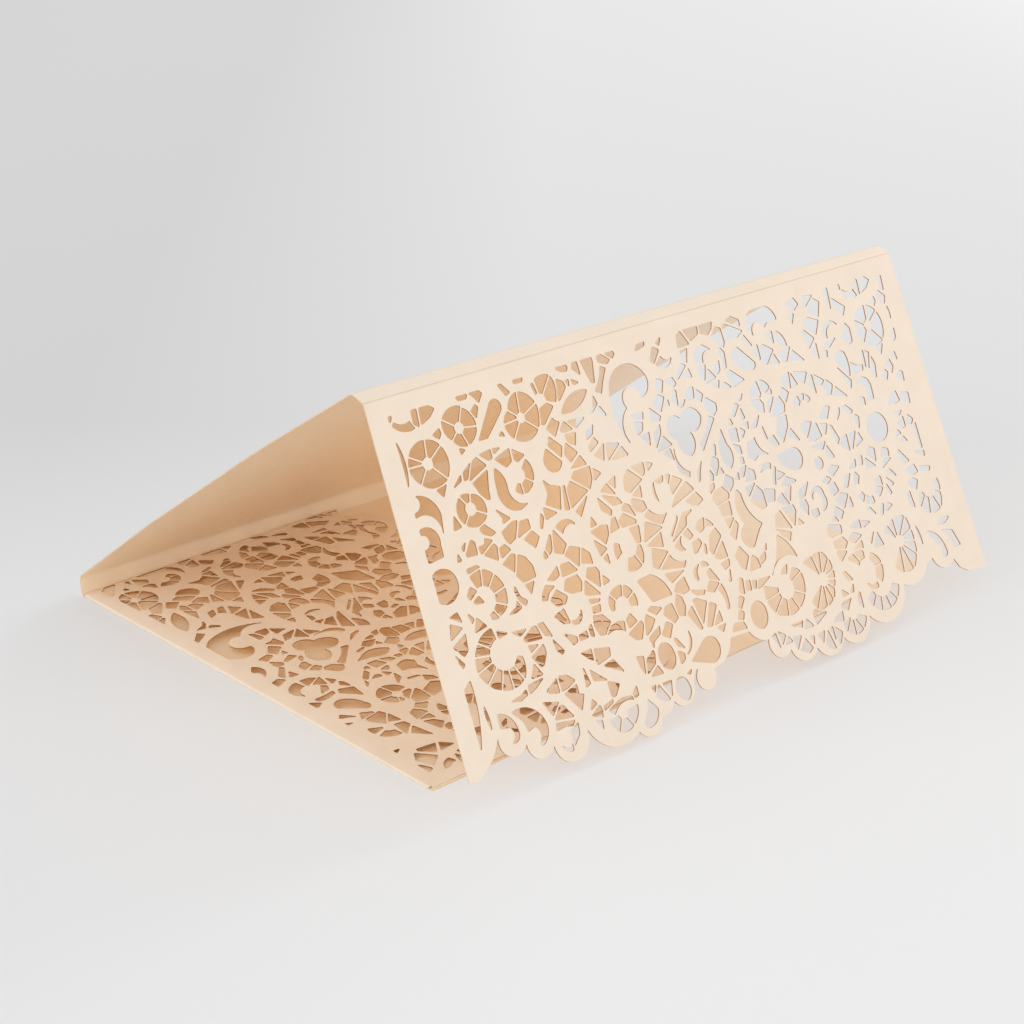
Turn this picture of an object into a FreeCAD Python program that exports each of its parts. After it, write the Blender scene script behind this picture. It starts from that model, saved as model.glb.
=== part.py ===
import FreeCAD, Part
import os
import Sketcher
from math import acos, atan2, cos, hypot, pi, radians, sin

# A laser-cut pocket fold card, standing as a tent: one sheet, scored and folded.
#
#   base     lies flat; its left part is covered by a lace pocket folded over from the left edge
#   spine    the narrow strip between the base and the back panel
#   back     leans forward over the base, up to the ridge
#   ridge    the second narrow strip, between the back panel and the flap
#   flap     hangs down in front as lace, with a scalloped lower edge just clear of the floor
#
# X runs along the folds, -Y towards the flap, Z up. The origin is the middle of the underside
# of the folded card's box.

SIZES = (
    ("card_length", 184.15, "length of every fold, 7 1/4 in"),
    ("base_depth", 133.35, "front edge of the base to its spine fold, 5 1/4 in"),
    ("back_depth", 133.35, "lower fold to upper fold of the back panel"),
    ("sheet", 0.3, "thickness of the card"),
    ("fold_bend", 0.6, "middle radius of a scored fold"),
    ("spine_width", 5.2, "width of the lower strip"),
    ("spine_lean", 80.0, "slope of the lower strip, degrees from the floor"),
    ("back_lean", 36.5, "slope of the back panel, degrees from the floor"),
    ("back_bow", 1.2, "how far the back panel bows outwards"),
    ("ridge_width", 4.1, "width of the upper strip"),
    ("ridge_fall", 17.0, "slope of the upper strip, degrees down to the front"),
    ("flap_reach", 86.0, "upper fold to the feet of the flap"),
    ("flap_tilt", 26.4, "angle of the flap from upright, degrees"),
    ("flap_lap", 2.6, "solid strip of the flap beside the ridge, bent with it"),
    ("pocket_bend", 0.75, "middle radius of the bend that carries the pocket"),
    ("pocket_reach", 84.5, "left edge to the corners of the pocket"),
    ("pocket_border", 4.3, "solid border of the pocket along the left edge"),
    ("pocket_inset", 0.4, "pocket sides kept back from the edges of the base"),
    ("tab_width", 11.0, "glued tab folded under along each side of the pocket"),
    ("pocket_shift", 26.6, "place along the flap pattern where the pocket pattern begins"),
    ("pocket_crop", 4.9, "how much of the flap pattern's top the pocket leaves out"),
    ("pocket_scale", 1.04, "size of the pocket pattern against the flap's"),
    ("pocket_finest", 11.0, "area of the smallest opening cut in the pocket, mm2"),
)

BAR = 0.65              # thread left standing between two neighbouring openings
TOUCHING = 1e-6          # points nearer than this are one point
PATTERN_LENGTH = 184.15  # the lace below is drawn for this length and reach
PATTERN_REACH = 86.0
POCKET_PATTERN_WIDTH = 133.35    # the pocket's pattern is placed for this width and reach
POCKET_PATTERN_REACH = 84.5
PULL_LEFT, PULL_REAR = 1.6, 2.7  # how far the pocket's pattern is drawn out beside the spine
PULL_ENDS = 62.0                 # distance from the spine at which that has faded out


# ---- openings of the lace: each is a list of (x, y, is_arc_point), y down from the upper fold --

def cell(*numbers):
    """Opening with straight sides."""
    pairs = zip(numbers[::2], numbers[1::2])
    return [[(x, y, False) for x, y in pairs]]


def cut(*points):
    """Opening whose triples (x, y, 1) are points that an arc passes through."""
    return [[(point[0], point[1], len(point) == 3) for point in points]]


def petal(x0, y0, x1, y1, left, right):
    """Pointed leaf between two ends; left and right are its bulges as shares of its length."""
    dx, dy = (x1 - x0) / 2, (y1 - y0) / 2
    middle_x, middle_y = (x0 + x1) / 2, (y0 + y1) / 2
    return [[(x0, y0, False), (middle_x + dy * left, middle_y - dx * left, True),
             (x1, y1, False), (middle_x - dy * right, middle_y + dx * right, True)]]


def drop(tip_x, tip_y, x, y, radius):
    """Teardrop: a disc round (x, y) with two straight sides to its tip."""
    aim = atan2(y - tip_y, x - tip_x)
    open_angle = pi - acos(radius / hypot(x - tip_x, y - tip_y))
    outline = [(tip_x, tip_y, False)]
    for angle, is_via in ((aim + open_angle, False), (aim, True), (aim - open_angle, False)):
        outline.append((x + radius * cos(angle), y + radius * sin(angle), is_via))
    return [outline]


def ring(x, y, radius_x, radius_y, tilt=0):
    """Oval opening of four arcs."""
    outline = []
    for eighth in range(8):
        across = radius_x * cos(eighth * pi / 4)
        along = radius_y * sin(eighth * pi / 4)
        outline.append((x + across * cos(radians(tilt)) - along * sin(radians(tilt)),
                        y + across * sin(radians(tilt)) + along * cos(radians(tilt)),
                        eighth % 2 == 1))
    return [outline]


def wheel(x, y, hub, *spokes):
    """Openings between neighbouring spokes (degrees, rim radius) round a solid hub."""
    def polar(angle, radius, is_via=False):
        return (x + radius * cos(angle), y + radius * sin(angle), is_via)

    openings = []
    for (start, start_rim), (stop, stop_rim) in zip(spokes, spokes[1:]):
        if stop < start:
            (start, start_rim), (stop, stop_rim) = (stop, stop_rim), (start, start_rim)
        start, stop = radians(start), radians(stop)
        middle = (start + stop) / 2
        rim = (start_rim + stop_rim) / 2
        outline = [polar(start + BAR / 2 / start_rim, start_rim), polar(middle, rim, True),
                   polar(stop - BAR / 2 / stop_rim, stop_rim)]
        half_hub = (stop - start - BAR / hub) / 2
        if half_hub > radians(6):
            outline += [polar(middle + half_hub, hub), polar(middle, hub, True),
                        polar(middle - half_hub, hub)]
        else:
            outline.append(polar(middle, hub))
        openings.append(outline)
    return openings


def moved(openings, dx):
    """The same openings further along the card."""
    return [[(x + dx, y, is_via) for x, y, is_via in outline] for outline in openings]


CORNER = (
    wheel(9, 2.6, 4.1, (62, 6.1), (134, 4.9))
    + cell(11.9, 4.2, 13.3, 4.2, 12.9, 8.1, 11.5, 7.2)
    + cell(14.1, 4.2, 16.6, 4.2, 18.2, 5.2, 16.3, 6.8, 13.7, 7.8)
    + wheel(12.4, 16.4, 1.6, (-81, 5.2), (-33, 5.5), (46, 6), (128, 5), (182, 5.2), (209, 5.2), (279, 5.2))
    + cell(12.8, 22.5, 15.8, 21.9, 14.2, 24.4)
)
UPPER_LEFT = (
    wheel(23.5, 10.9, 1.5, (-64, 4.6), (8, 4.9), (72, 4.4), (140, 3.5), (214, 4.9), (296, 4.9))
    + cut((28, 14.9), (33.4, 8.1), (36.3, 7.5, 1), (36.2, 10.2), (30.6, 14.9))
    + wheel(41.6, 12.8, 1.4, (-82, 5.9), (-23, 5.8), (39, 5.4), (129, 5.3), (176, 5.2), (218, 4),
            (278, 5.9))
    + wheel(48.9, 10.4, 1.7, (-97, 5), (-48, 6.6), (20, 4.4))
    + cell(50.2, 11.3, 52, 12.4, 48, 15.8, 47, 15.7, 47.6, 12.2)
    + cell(55, 6.7, 57, 7.7, 57.3, 9.1, 54.4, 11.6, 54, 11.3)
    + petal(53.9, 14.6, 63.4, 11.1, 0.36, 0.3)
    + cut((6.8, 22.4), (10.3, 24.1, 1), (12.1, 28), (11.4, 32), (10.4, 28.3, 1), (5.4, 26.9), (5.4, 25.9),
          (7.4, 24.6, 1))
    + cut((5.4, 29.7), (9, 30.6, 1), (9.8, 34), (9.7, 36.8), (5.4, 37.2), (5.4, 34.3), (7.2, 32.2, 1),
          (5.4, 30.8))
    + cut((5.4, 40), (11.5, 42.8, 1), (5.4, 46.2))
    + wheel(20.5, 28.8, 1.7, (-75, 3.3), (28, 4.5), (130, 3.8), (237, 3.9), (285, 3.3))
    + cell(22.4, 22.8, 24.2, 19, 25.8, 18.2, 28.1, 20.6)
    + cell(23.1, 23.5, 28, 21.7, 26.8, 26, 26.6, 28.1, 25.8, 27.9, 24.2, 26.2)
    + cell(30.9, 19.9, 35.7, 18.5, 35.5, 21.5, 33.6, 22.4)
    + cut((30.1, 21.9), (31.8, 24, 1), (32.2, 27.2), (33.4, 30.2, 1), (36.7, 31.6), (34.4, 32.4),
          (30, 30.2, 1), (29.2, 27), (29.4, 24))
    + cut((46.2, 21.2), (49.9, 25.1), (47, 26.8, 1), (45.2, 22.6))
    + cell(48.1, 18.8, 51.2, 21.8, 50.2, 24.1, 47.2, 20.8)
    + cell(51.3, 23.7, 52.5, 21.3, 55.3, 24.2, 52.5, 25.8)
    + cell(48.1, 17, 50.7, 14.9, 51.3, 15.8, 52.5, 16.3, 50.1, 19.2)
    + cell(51.3, 29.4, 52.6, 28.1, 57.7, 28.1, 57.4, 31, 56, 33.1)
    + cell(42.8, 27.8, 44.4, 29.4, 47.3, 30.4, 45.7, 35.4, 41.8, 33.2, 43.3, 31)
    + cell(49.1, 31.6, 50.6, 29.9, 55.1, 33.3, 49, 35.9)
    + cell(15.8, 38, 18.1, 35.3, 19, 36, 18.9, 38.8, 16, 38.6)
    + cell(20.7, 39.5, 24, 37.7, 24.8, 38.6, 24.1, 41.6)
    + cell(27.2, 35.9, 30.9, 34.4, 32.3, 34.5, 30.5, 38.2, 28.5, 39, 27.7, 37.8)
    + cell(31.3, 38.3, 33, 34.9, 35.5, 35, 35.5, 37.1)
    + cell(32.8, 39.1, 35.6, 37.8, 37.3, 39.6, 35.4, 41.7)
    + cell(25, 42.8, 28, 41.2, 29.1, 41.6, 27.7, 45.3)
    + cell(27.9, 46.2, 29.8, 41.9, 31.6, 42.8, 33.1, 45.2, 33.2, 47.8, 29.2, 48.1)
    + cell(43.1, 45.6, 45, 44, 48, 45.1, 46.3, 49)
    + cell(41.7, 39.2, 44.4, 43.3, 42.7, 45.1, 40.4, 44.3, 41, 41.4)
    + cut((42.8, 38.9), (46.4, 38, 1), (48.6, 39.6), (46.5, 39.1, 1), (44.3, 40.7))
    + cell(52.5, 42.6, 56, 41.9, 58, 42.4, 57.6, 44.5, 56, 46.4)
)
UPPER_MIDDLE = (
    cell(63.9, 4.2, 67.6, 4.2, 67.7, 5, 66.5, 10, 65.4, 9.8)
    + cell(66, 11.9, 68.4, 9.3, 69.6, 6.8, 71.1, 7.5, 69, 10.4, 67.7, 12.9)
    + cell(64.6, 24.3, 68.7, 25.2, 63.9, 28.2)
    + cut((72.3, 26), (69.7, 18, 1), (70.9, 11.4), (77, 7.9, 1), (83.2, 12.4), (82.2, 15.4, 1),
          (79.6, 16.4), (75.4, 13.4, 1), (74.2, 17.9), (71.8, 20.6, 1))
    + cut((90.2, 24.3), (94.9, 22.6, 1), (97.2, 25.1), (96.2, 26.9, 1), (91.9, 27.6), (92.9, 30.6, 1),
          (90.4, 33.4), (87.7, 31.2, 1), (87.6, 28.8), (85.2, 25.8, 1), (86.2, 23.5), (88.3, 23.1, 1))
    + cell(80.2, 30, 83, 26.8, 85.2, 29.4)
    + cell(82.6, 19.3, 85, 17.1, 87, 18.1, 84.8, 21.2)
    + cut((87.5, 10.2), (90.2, 11.4, 1), (93.1, 9.6), (91.3, 9.9, 1), (89.6, 8.6))
    + cell(61.5, 42.4, 63.7, 41, 67.1, 43.5, 66.8, 44.1, 62.3, 44)
    + cell(67, 40.2, 67.6, 38.4, 71, 39.9, 71.5, 41.6, 69.5, 42.1, 67.9, 41.5)
    + cell(66.3, 36.1, 66.8, 33.5, 68.8, 31.6, 72.5, 34.9, 67.8, 36.9)
    + cell(70.1, 31.3, 74.3, 31.2, 74.1, 33.4, 73.1, 34.2)
    + cut((70.1, 43.2), (71.9, 42.2), (73.8, 43.9, 1), (77.2, 44.3), (75, 46.3), (72, 45, 1))
    + cell(80.7, 38.7, 82.4, 36.5, 85, 38.1, 80.7, 40.6)
    + cell(79.3, 43.5, 81.6, 41.1, 86.1, 38.8, 88, 41.1)
    + cell(84.3, 43.3, 88.4, 42, 90, 44.2, 88, 45, 86.3, 44.7)
    + cell(96.1, 7.9, 96.8, 4.9, 98.4, 4.2, 100.3, 7.7)
    + cell(99.4, 4.2, 104.6, 4.2, 104.2, 6, 101.1, 7.1)
    + cell(105.3, 4.2, 110.1, 4.2, 109.2, 5.8, 107.5, 6.9, 105.1, 6.1)
    + cell(108.4, 7.8, 110.6, 5.6, 112.4, 6.2, 112.5, 9.8, 111.7, 11)
    + cell(113.2, 9.3, 113.3, 5.7, 114.2, 5.6, 119.8, 8.4, 117.5, 9.5)
    + cut((100.6, 12.5), (101.9, 9.6, 1), (104.5, 8.9), (106.8, 10.4), (104.4, 10.7, 1), (103.3, 13))
    + cell(109.8, 17.4, 111.4, 16.6, 115.6, 20, 111.2, 20.8)
    + cut((114.1, 15.4), (114.2, 12.6, 1), (116.4, 12), (121, 16.7), (120.6, 17.8, 1), (118.6, 17.9),
          (115.9, 17.1, 1))
    + cell(99.5, 21.9, 100.5, 21.2, 103.5, 23.4, 103.2, 24.9, 101.6, 26, 99.6, 24.1)
    + cut((99.7, 25.7), (101.4, 26.6), (94.8, 33.2), (94.3, 31.4), (97.2, 29.2, 1))
    + cell(104.9, 30.4, 107.9, 30.6, 107.6, 34, 105, 33)
    + wheel(120.4, 25.8, 1.3, (104, 3.5), (190, 4.7), (262, 4.6))
    + cell(95.7, 37.1, 97.3, 35.3, 98.8, 36.3, 98.3, 38.1, 96.7, 40)
    + cell(98, 42.9, 99.6, 40.3, 101.9, 42, 101.3, 43.4, 99.7, 44.6)
    + cut((102.5, 29.6), (103.1, 33.6), (103.9, 37.4, 1), (102.2, 39.4), (100.3, 36.6, 1), (101.3, 31.8))
    + cell(93.2, 45, 94.3, 43.4, 97.3, 42.9, 99.1, 45, 98.6, 46, 94, 46.6)
    + cell(105.8, 43.7, 107.8, 40.8, 109.7, 41.8, 109.6, 43.9)
    + cut((109.4, 36.6), (110.2, 34.9), (113.1, 34.2), (113.9, 37, 1), (116.3, 39.1), (113, 38.5),
          (111, 39.6), (109.4, 38.4))
)
UPPER_RIGHT = (
    cut((121.9, 8.6), (122.6, 5.4, 1), (125.2, 4.2), (130.3, 4.2), (132.4, 5.8, 1), (133.2, 8),
        (129.6, 8), (128, 9.1), (125.8, 7.2, 1), (123.3, 10.3))
    + wheel(129.9, 14.9, 2.1, (-70, 4.4), (6, 4.3))
    + cell(123.7, 17.5, 124.3, 13.3, 125.6, 13.1, 128.8, 15.1, 125.5, 18.1)
    + cell(130.3, 16.2, 135.1, 15.6, 132.5, 18.9, 130.8, 18.6)
    + cell(133.5, 18.8, 135.6, 16.6, 139, 19.9)
    + cell(137.9, 5.1, 141.6, 4.2, 142.8, 6, 140.5, 7.3)
    + cell(145.3, 8.5, 148.8, 5.7, 150.9, 7, 149, 10.5, 147, 9.7)
    + cell(142.1, 11.5, 144.5, 9.9, 148.5, 11.4, 146.1, 14.7)
    + cell(141.2, 12.9, 142, 12.7, 145, 15.4, 142, 17.6)
    + cell(155.9, 7, 160.2, 10.1, 158.5, 12.1, 157.5, 10.6, 155.9, 9.3)
    + cell(121.3, 30.6, 124.3, 26.8, 126, 26.5, 127.1, 28.8, 126.4, 30.5, 123, 31)
    + cell(128.1, 23.8, 129, 22.1, 132, 21.5, 131, 25.5, 129.5, 25)
    + cell(133.6, 21.9, 138.4, 23, 136.5, 25.4, 134.5, 24.2)
    + cell(143, 27.8, 144.5, 26.2, 146.6, 27.9, 145.3, 30.1, 143.4, 30.1)
    + cell(121.2, 35.4, 123.1, 31.4, 126.5, 31.4, 126, 34.1, 122.8, 37.7)
    + cut((118.9, 40.3), (124.8, 39.7), (127.8, 42.4, 1), (125.2, 45.1), (122.4, 44.5, 1))
    + ring(133.1, 45.5, 1.5, 1.5)
    + cell(130.4, 35.3, 132.5, 34.5, 134.8, 35.2, 131.8, 38.6)
    + cell(131.7, 39.5, 134.7, 35.9, 136.4, 35.8, 137.1, 39.3, 134, 39.8)
    + cell(138.2, 34.9, 141, 32.4, 143, 33, 141, 35.6)
    + cut((150.4, 22.8), (152, 20.6, 1), (154.6, 21.2), (155, 24.6, 1), (154.2, 27.2))
    + cell(155.5, 24, 158, 25.3, 160.2, 25.6, 159.8, 26.9, 155.5, 27)
    + cut((156, 29.4), (159.4, 28.8, 1), (161, 31.4), (160.7, 34.6), (158, 34.6), (158.6, 31.2, 1))
    + cut((148.3, 15.9), (150.4, 12.8, 1), (155, 13.8), (152, 13.3, 1), (150, 16.4))
    + cell(154.9, 17.1, 157, 16.2, 158.1, 14, 159.5, 15.6, 159.1, 19, 157.5, 19.5)
    + ring(158.6, 41.8, 4, 3.7)
    + cell(142.8, 43, 144.8, 40.9, 146.2, 41, 145.8, 45.2)
    + cell(173.6, 9.4, 175, 8.5, 177.2, 10.4, 176.2, 12.2, 174.2, 11.2)
    + cell(165.3, 37.4, 167.2, 35.4, 169.8, 34.6, 170.4, 37.2, 168.4, 37.6)
    + cell(171, 37.4, 171.4, 35.4, 174.6, 36, 174.2, 38.8)
)
LOWER_LEFT = (
    cell(5.6, 56.4, 9.7, 54.4, 9.2, 58.2, 7.8, 59.1)
    + cut((7.5, 64.6), (7.2, 72.5, 1), (5.4, 79.8), (5.4, 66))
    + cell(24.8, 60.3, 28.3, 58.2, 29.3, 58.4, 30.1, 61.5, 25.2, 61)
    + cell(25.8, 64.7, 29.9, 62.8, 30.1, 64.8, 28.6, 67.3, 27.6, 67.4)
    + wheel(18.4, 61.6, 3.9, (20, 5.2), (62, 7.9), (88, 8.1), (112, 8.1), (140, 8.2), (165, 8.4),
            (190, 7.8), (214, 7.3), (259, 6.4))
    + cell(35.4, 54.2, 37.8, 52.3, 40.5, 54.6, 39.4, 56, 37, 56)
    + cell(40.6, 50, 41, 47.3, 43.5, 47.3, 45.5, 49.7)
    + cell(40.1, 53, 41.2, 50.9, 44.9, 50.7, 45.8, 52.6, 45, 54.5, 42, 54.3)
    + cell(35.2, 57.9, 38.4, 56.9, 39.2, 60.5, 37.4, 60.2)
    + cell(45.7, 55.6, 46.8, 52.6, 50.3, 56.7, 47, 56.2)
    + cell(48.5, 45.3, 50.4, 47, 50.5, 49.5, 47.3, 48.6)
    + cell(47.4, 52, 48.5, 50.1, 51, 50.6, 51.7, 51.8, 50.8, 55.2)
    + cell(45.8, 63.2, 46.3, 60.9, 49, 61.4, 50.9, 63.6, 48.6, 65.9, 46.8, 65.8)
    + cell(43.7, 68.1, 48.3, 69.1, 48, 70.9, 43.6, 71.8)
    + cell(31.5, 74.4, 31.6, 70.9, 34, 71.4, 35.9, 73.1, 33.5, 74.1)
    + cell(32, 75.2, 36, 74.1, 35.9, 76.5, 37.3, 76.9, 35.6, 80.1)
    + cell(25.1, 75.1, 29.6, 76.4, 27.1, 78.8)
    + cell(27.3, 79.9, 29.7, 77.2, 30.5, 77.4, 32.8, 80.7)
    + cell(30.8, 83.5, 33.4, 82.4, 33, 85, 30.8, 87)
    + cut((16.2, 74.6), (22.4, 76, 1), (24.7, 79.6), (24.1, 82.6, 1), (22.2, 84.1), (21.5, 83.6),
          (22.5, 81.2, 1), (21.2, 79.4), (19.2, 79.9), (18.6, 77.3))
    + cut((12.2, 73.8), (15.6, 76, 1), (16.6, 79), (16, 80.8, 1), (14.2, 81), (15.4, 79.2, 1),
          (14.6, 77.4), (12, 77))
    + cell(45, 76.2, 48.3, 77.8, 46.4, 80, 45.1, 80)
    + cut((43.1, 82.8), (46.8, 81.3, 1), (51, 81.6), (51.2, 82.4), (46.8, 82.3, 1), (44.6, 84))
    + wheel(47, 84.2, 1.7, (-8, 4.8), (58, 4.3), (118, 4.6), (176, 4.4))
    + cut((55.2, 83.7), (57.5, 86.6), (56.4, 89, 1), (54.2, 89.9), (52.6, 89.2, 1), (52.6, 88.4),
          (54.7, 86))
    + cell(58.1, 84, 59.7, 81.5, 62.1, 85.7, 60, 85.5)
    + cell(57.6, 78.2, 58.3, 75, 61, 73.5, 61.2, 74.3, 60.6, 76.6)
    + cell(55.2, 67.9, 59.8, 65.9, 60.4, 67, 58.8, 70, 57, 69.8)
    + cell(60.4, 69.7, 61.1, 66.1, 61.9, 65.1, 64.2, 66.9, 62.2, 68.9)
    + cut((48.9, 66.3), (51.6, 64.4, 1), (54.9, 64.8), (54.4, 66.9), (51.6, 65.7, 1))
)
LOWER_MIDDLE = (
    ring(66.9, 84.6, 2.1, 2.9, -15)
    + drop(71.8, 79.4, 78.7, 78.5, 3.1)
    + ring(64.7, 76, 2.4, 3.3, -12)
    + cell(65.1, 71, 67.3, 68.4, 69.1, 69.5, 67.3, 72.3)
    + cut((62.1, 57), (66.3, 56.6), (69.6, 58.9, 1), (71.5, 62.8), (65, 62.8), (63.8, 60.2))
    + cell(64.3, 44.8, 67.4, 44.8, 66.8, 48.6, 65.4, 48.7)
    + cell(67.8, 49, 69.6, 44.6, 74.5, 47.1)
    + cell(68.3, 50.2, 73.6, 48.1, 73.2, 51.5)
    + cell(68.3, 55.2, 69.4, 51, 74.1, 53, 69.8, 56.1)
    + cut((70.6, 56.5), (74.3, 53.9), (76, 55.9, 1), (79, 56.5), (78, 57.8))
    + cell(71.2, 57.8, 77.4, 58.5, 72.6, 60.3)
    + cell(72.5, 62.4, 73.8, 61, 76.8, 60, 77.5, 63.4, 75, 63.7)
    + wheel(62.4, 48.4, 3, (8, 3.9), (62, 6), (112, 6))
    + cell(76.5, 51.3, 79, 48.9, 82.3, 45.6, 85.4, 45.6, 83, 46.7, 82.3, 48.6)
    + cell(88.8, 52.8, 91.2, 51.6, 92.4, 53.9, 88.2, 57.5, 87.4, 56.3)
    + cell(88.4, 58.3, 92.3, 55.2, 92.7, 59.1, 89.8, 59.1)
    + cut((86.6, 65.9), (87.9, 64.7), (88.8, 68, 1), (88.5, 70.9), (87.7, 71), (87.6, 68, 1))
    + cell(77.4, 65.9, 78.5, 65.8, 81.7, 67.4, 78.8, 72.1)
    + cell(74.7, 68.6, 76.6, 67.1, 78.2, 73.1, 77.3, 73.1)
    + cell(79.7, 73.2, 82.5, 67.9, 84.5, 69, 81.3, 73.4)
    + cell(71.7, 65.5, 72.8, 63.2, 74.3, 64.3, 74.7, 66.5, 73.8, 68.7, 72, 68.2)
    + cell(67.3, 66.6, 68.3, 65, 70.6, 64.8, 71.5, 68.5, 69.9, 69.4)
    + cell(94.5, 47.1, 98.4, 46.8, 98.1, 50.1, 95, 49.7)
    + cut((101.9, 44.8), (102.9, 46), (104.2, 51.2, 1), (107.2, 54.6), (105.8, 55.6), (102.4, 59.2),
          (99.6, 58, 1), (101.6, 53.4), (100.2, 50, 1))
    + cell(95.2, 59.7, 97.3, 57.9, 99.5, 60.9, 97.4, 63.8, 96, 62.8)
    + cell(98.6, 64.4, 100.6, 61, 102.2, 62.2, 102.6, 64.4)
    + cell(105.7, 48.7, 108.9, 45.4, 110.6, 47.3, 110.6, 51, 108.5, 51.3)
    + cell(111.2, 50.2, 111.2, 46.9, 114.9, 47.9, 113.8, 50.5)
    + cell(111.4, 56.6, 112.6, 53.9, 114.4, 53.2, 117, 58.3)
    + cell(115.3, 52.9, 119.6, 53, 120, 54.6, 118.2, 58)
    + cut((110.9, 58.6), (114.2, 61.8, 1), (115.7, 65.3), (110.6, 64, 1), (105.5, 67.6), (108.8, 63.4, 1))
    + wheel(108.9, 71.6, 2.9, (-50, 5.6), (-21, 6.9), (27, 6.5), (65, 6.3), (103, 6.6), (140, 7.4),
            (172, 7.6), (200, 7.6))
    + ring(97.4, 75.2, 2.7, 3.4)
    + cell(115.4, 80.1, 116.2, 79.2, 120.2, 80.9, 115.7, 82.8)
    + cell(107.8, 87.2, 110.3, 84.9, 112.1, 87.8, 110.4, 88.6)
    + cell(117, 88.5, 118.8, 85.1, 120, 90.1, 118, 89.6)
)
LOWER_RIGHT = (
    cell(122, 54, 122.5, 52.8, 124.5, 52.8, 124.9, 54.6, 124, 56.8)
    + cut((126.8, 53.2), (128.8, 50.7, 1), (131.6, 53.4), (130.6, 56.8, 1), (129.4, 57), (130.6, 54.6, 1),
          (129.6, 52), (128.2, 51.8, 1), (127.3, 53.4))
    + cell(134, 53.3, 134.8, 51.2, 136.6, 51.4, 137.3, 53.6, 135, 54.4)
    + cell(135.2, 55.8, 137.4, 54.3, 140.1, 55.4, 137.5, 58.4)
    + cell(128.7, 62.6, 129.8, 60.8, 134.2, 62, 133.9, 63.9, 129.2, 64)
    + cell(129.8, 65.2, 133.6, 64.9, 134.9, 66.5, 133.6, 67.9, 129.8, 67)
    + wheel(139.4, 75.2, 2.9, (-64, 4.6), (-6, 5.4), (50, 5.4))
    + cell(135.3, 66.3, 137.5, 64.8, 140.7, 66.2, 137.5, 67.4)
    + wheel(154, 71.2, 1.6, (-146, 6), (-118, 5.4), (-90, 5.8), (-50, 7), (-18, 5.7), (12, 5.7),
            (42, 6.6), (72, 8), (100, 8), (128, 7.4))
    + cell(151.2, 47.3, 153, 45.9, 155, 46.8, 154.2, 50)
    + cell(164, 54.6, 168.2, 54, 169, 56.2, 166.8, 56.6)
    + cell(163.9, 57.6, 166, 57.3, 167.8, 58.2, 166.4, 60.4, 164.4, 59.2)
    + cut((165.2, 71.6), (169.4, 74, 1), (170.8, 77.6), (169.6, 79.3, 1), (168.6, 78.6), (169.2, 76.4, 1),
          (167.6, 75))
    + cut((171.2, 72.6), (175.2, 73.6), (176.8, 77.9), (174.2, 77.8), (173.4, 74.8, 1))
)

LACE = (CORNER + moved(CORNER, 154.6) + UPPER_LEFT + UPPER_MIDDLE + UPPER_RIGHT
        + LOWER_LEFT + LOWER_MIDDLE + LOWER_RIGHT)

# Lower edge of the flap, from the left foot to the right one: discs between sharp notches.
SCALLOPS = (
    (3, 86), (6, 84), (8, 82.5), (10.6, 78.8), (13.2, 83.9, 1), (17.8, 82.4),
    (21.0, 86.9, 1), (25.1, 85.2), (29.7, 90.5, 1), (35.5, 84.5), (42.2, 91.0, 1), (50.2, 89.9),
    (54.2, 92.2, 1), (58.3, 88.7), (61.0, 88.5, 1), (63, 86.5), (66.7, 88.6, 1), (70.5, 84.2),
    (71.4, 82.4), (73.0, 81.4), (72.0, 83.2), (74.6, 87.3, 1), (78, 83), (82, 82.5), (84.5, 80.5),
    (86, 77.7), (92.5, 78), (94.8, 80.5, 1), (98.2, 81.6), (100.4, 86.9, 1), (104.6, 86),
    (108.6, 90.1, 1), (113.6, 88.2), (118.4, 91.6, 1), (123.7, 88.4), (128.6, 91.2, 1),
    (134.8, 85.8), (142.2, 89.4, 1), (150.6, 81.9), (155.8, 83.0, 1), (161.5, 79.5), (164.4, 78.4),
    (167.8, 82.0, 1), (172.5, 80.8), (174, 83.5), (177, 85.2),
)


# ---- shared geometry ------------------------------------------------------------------------

def flat_vector(x, y):
    return FreeCAD.Vector(x, y, 0)


def edges_of(outline):
    """Lines and arcs round a closed outline of (x, y, is_arc_point)."""
    while outline[0][2]:
        outline = outline[1:] + outline[:1]
    edges = []
    index = 0
    while index < len(outline):
        x, y, _ = outline[index]
        next_x, next_y, is_via = outline[(index + 1) % len(outline)]
        if is_via:
            end_x, end_y, _ = outline[(index + 2) % len(outline)]
            edges.append(Part.Arc(flat_vector(x, y), flat_vector(next_x, next_y),
                                  flat_vector(end_x, end_y)))
            index += 1
        elif hypot(next_x - x, next_y - y) > TOUCHING:
            edges.append(Part.LineSegment(flat_vector(x, y), flat_vector(next_x, next_y)))
        index += 1
    return edges


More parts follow.
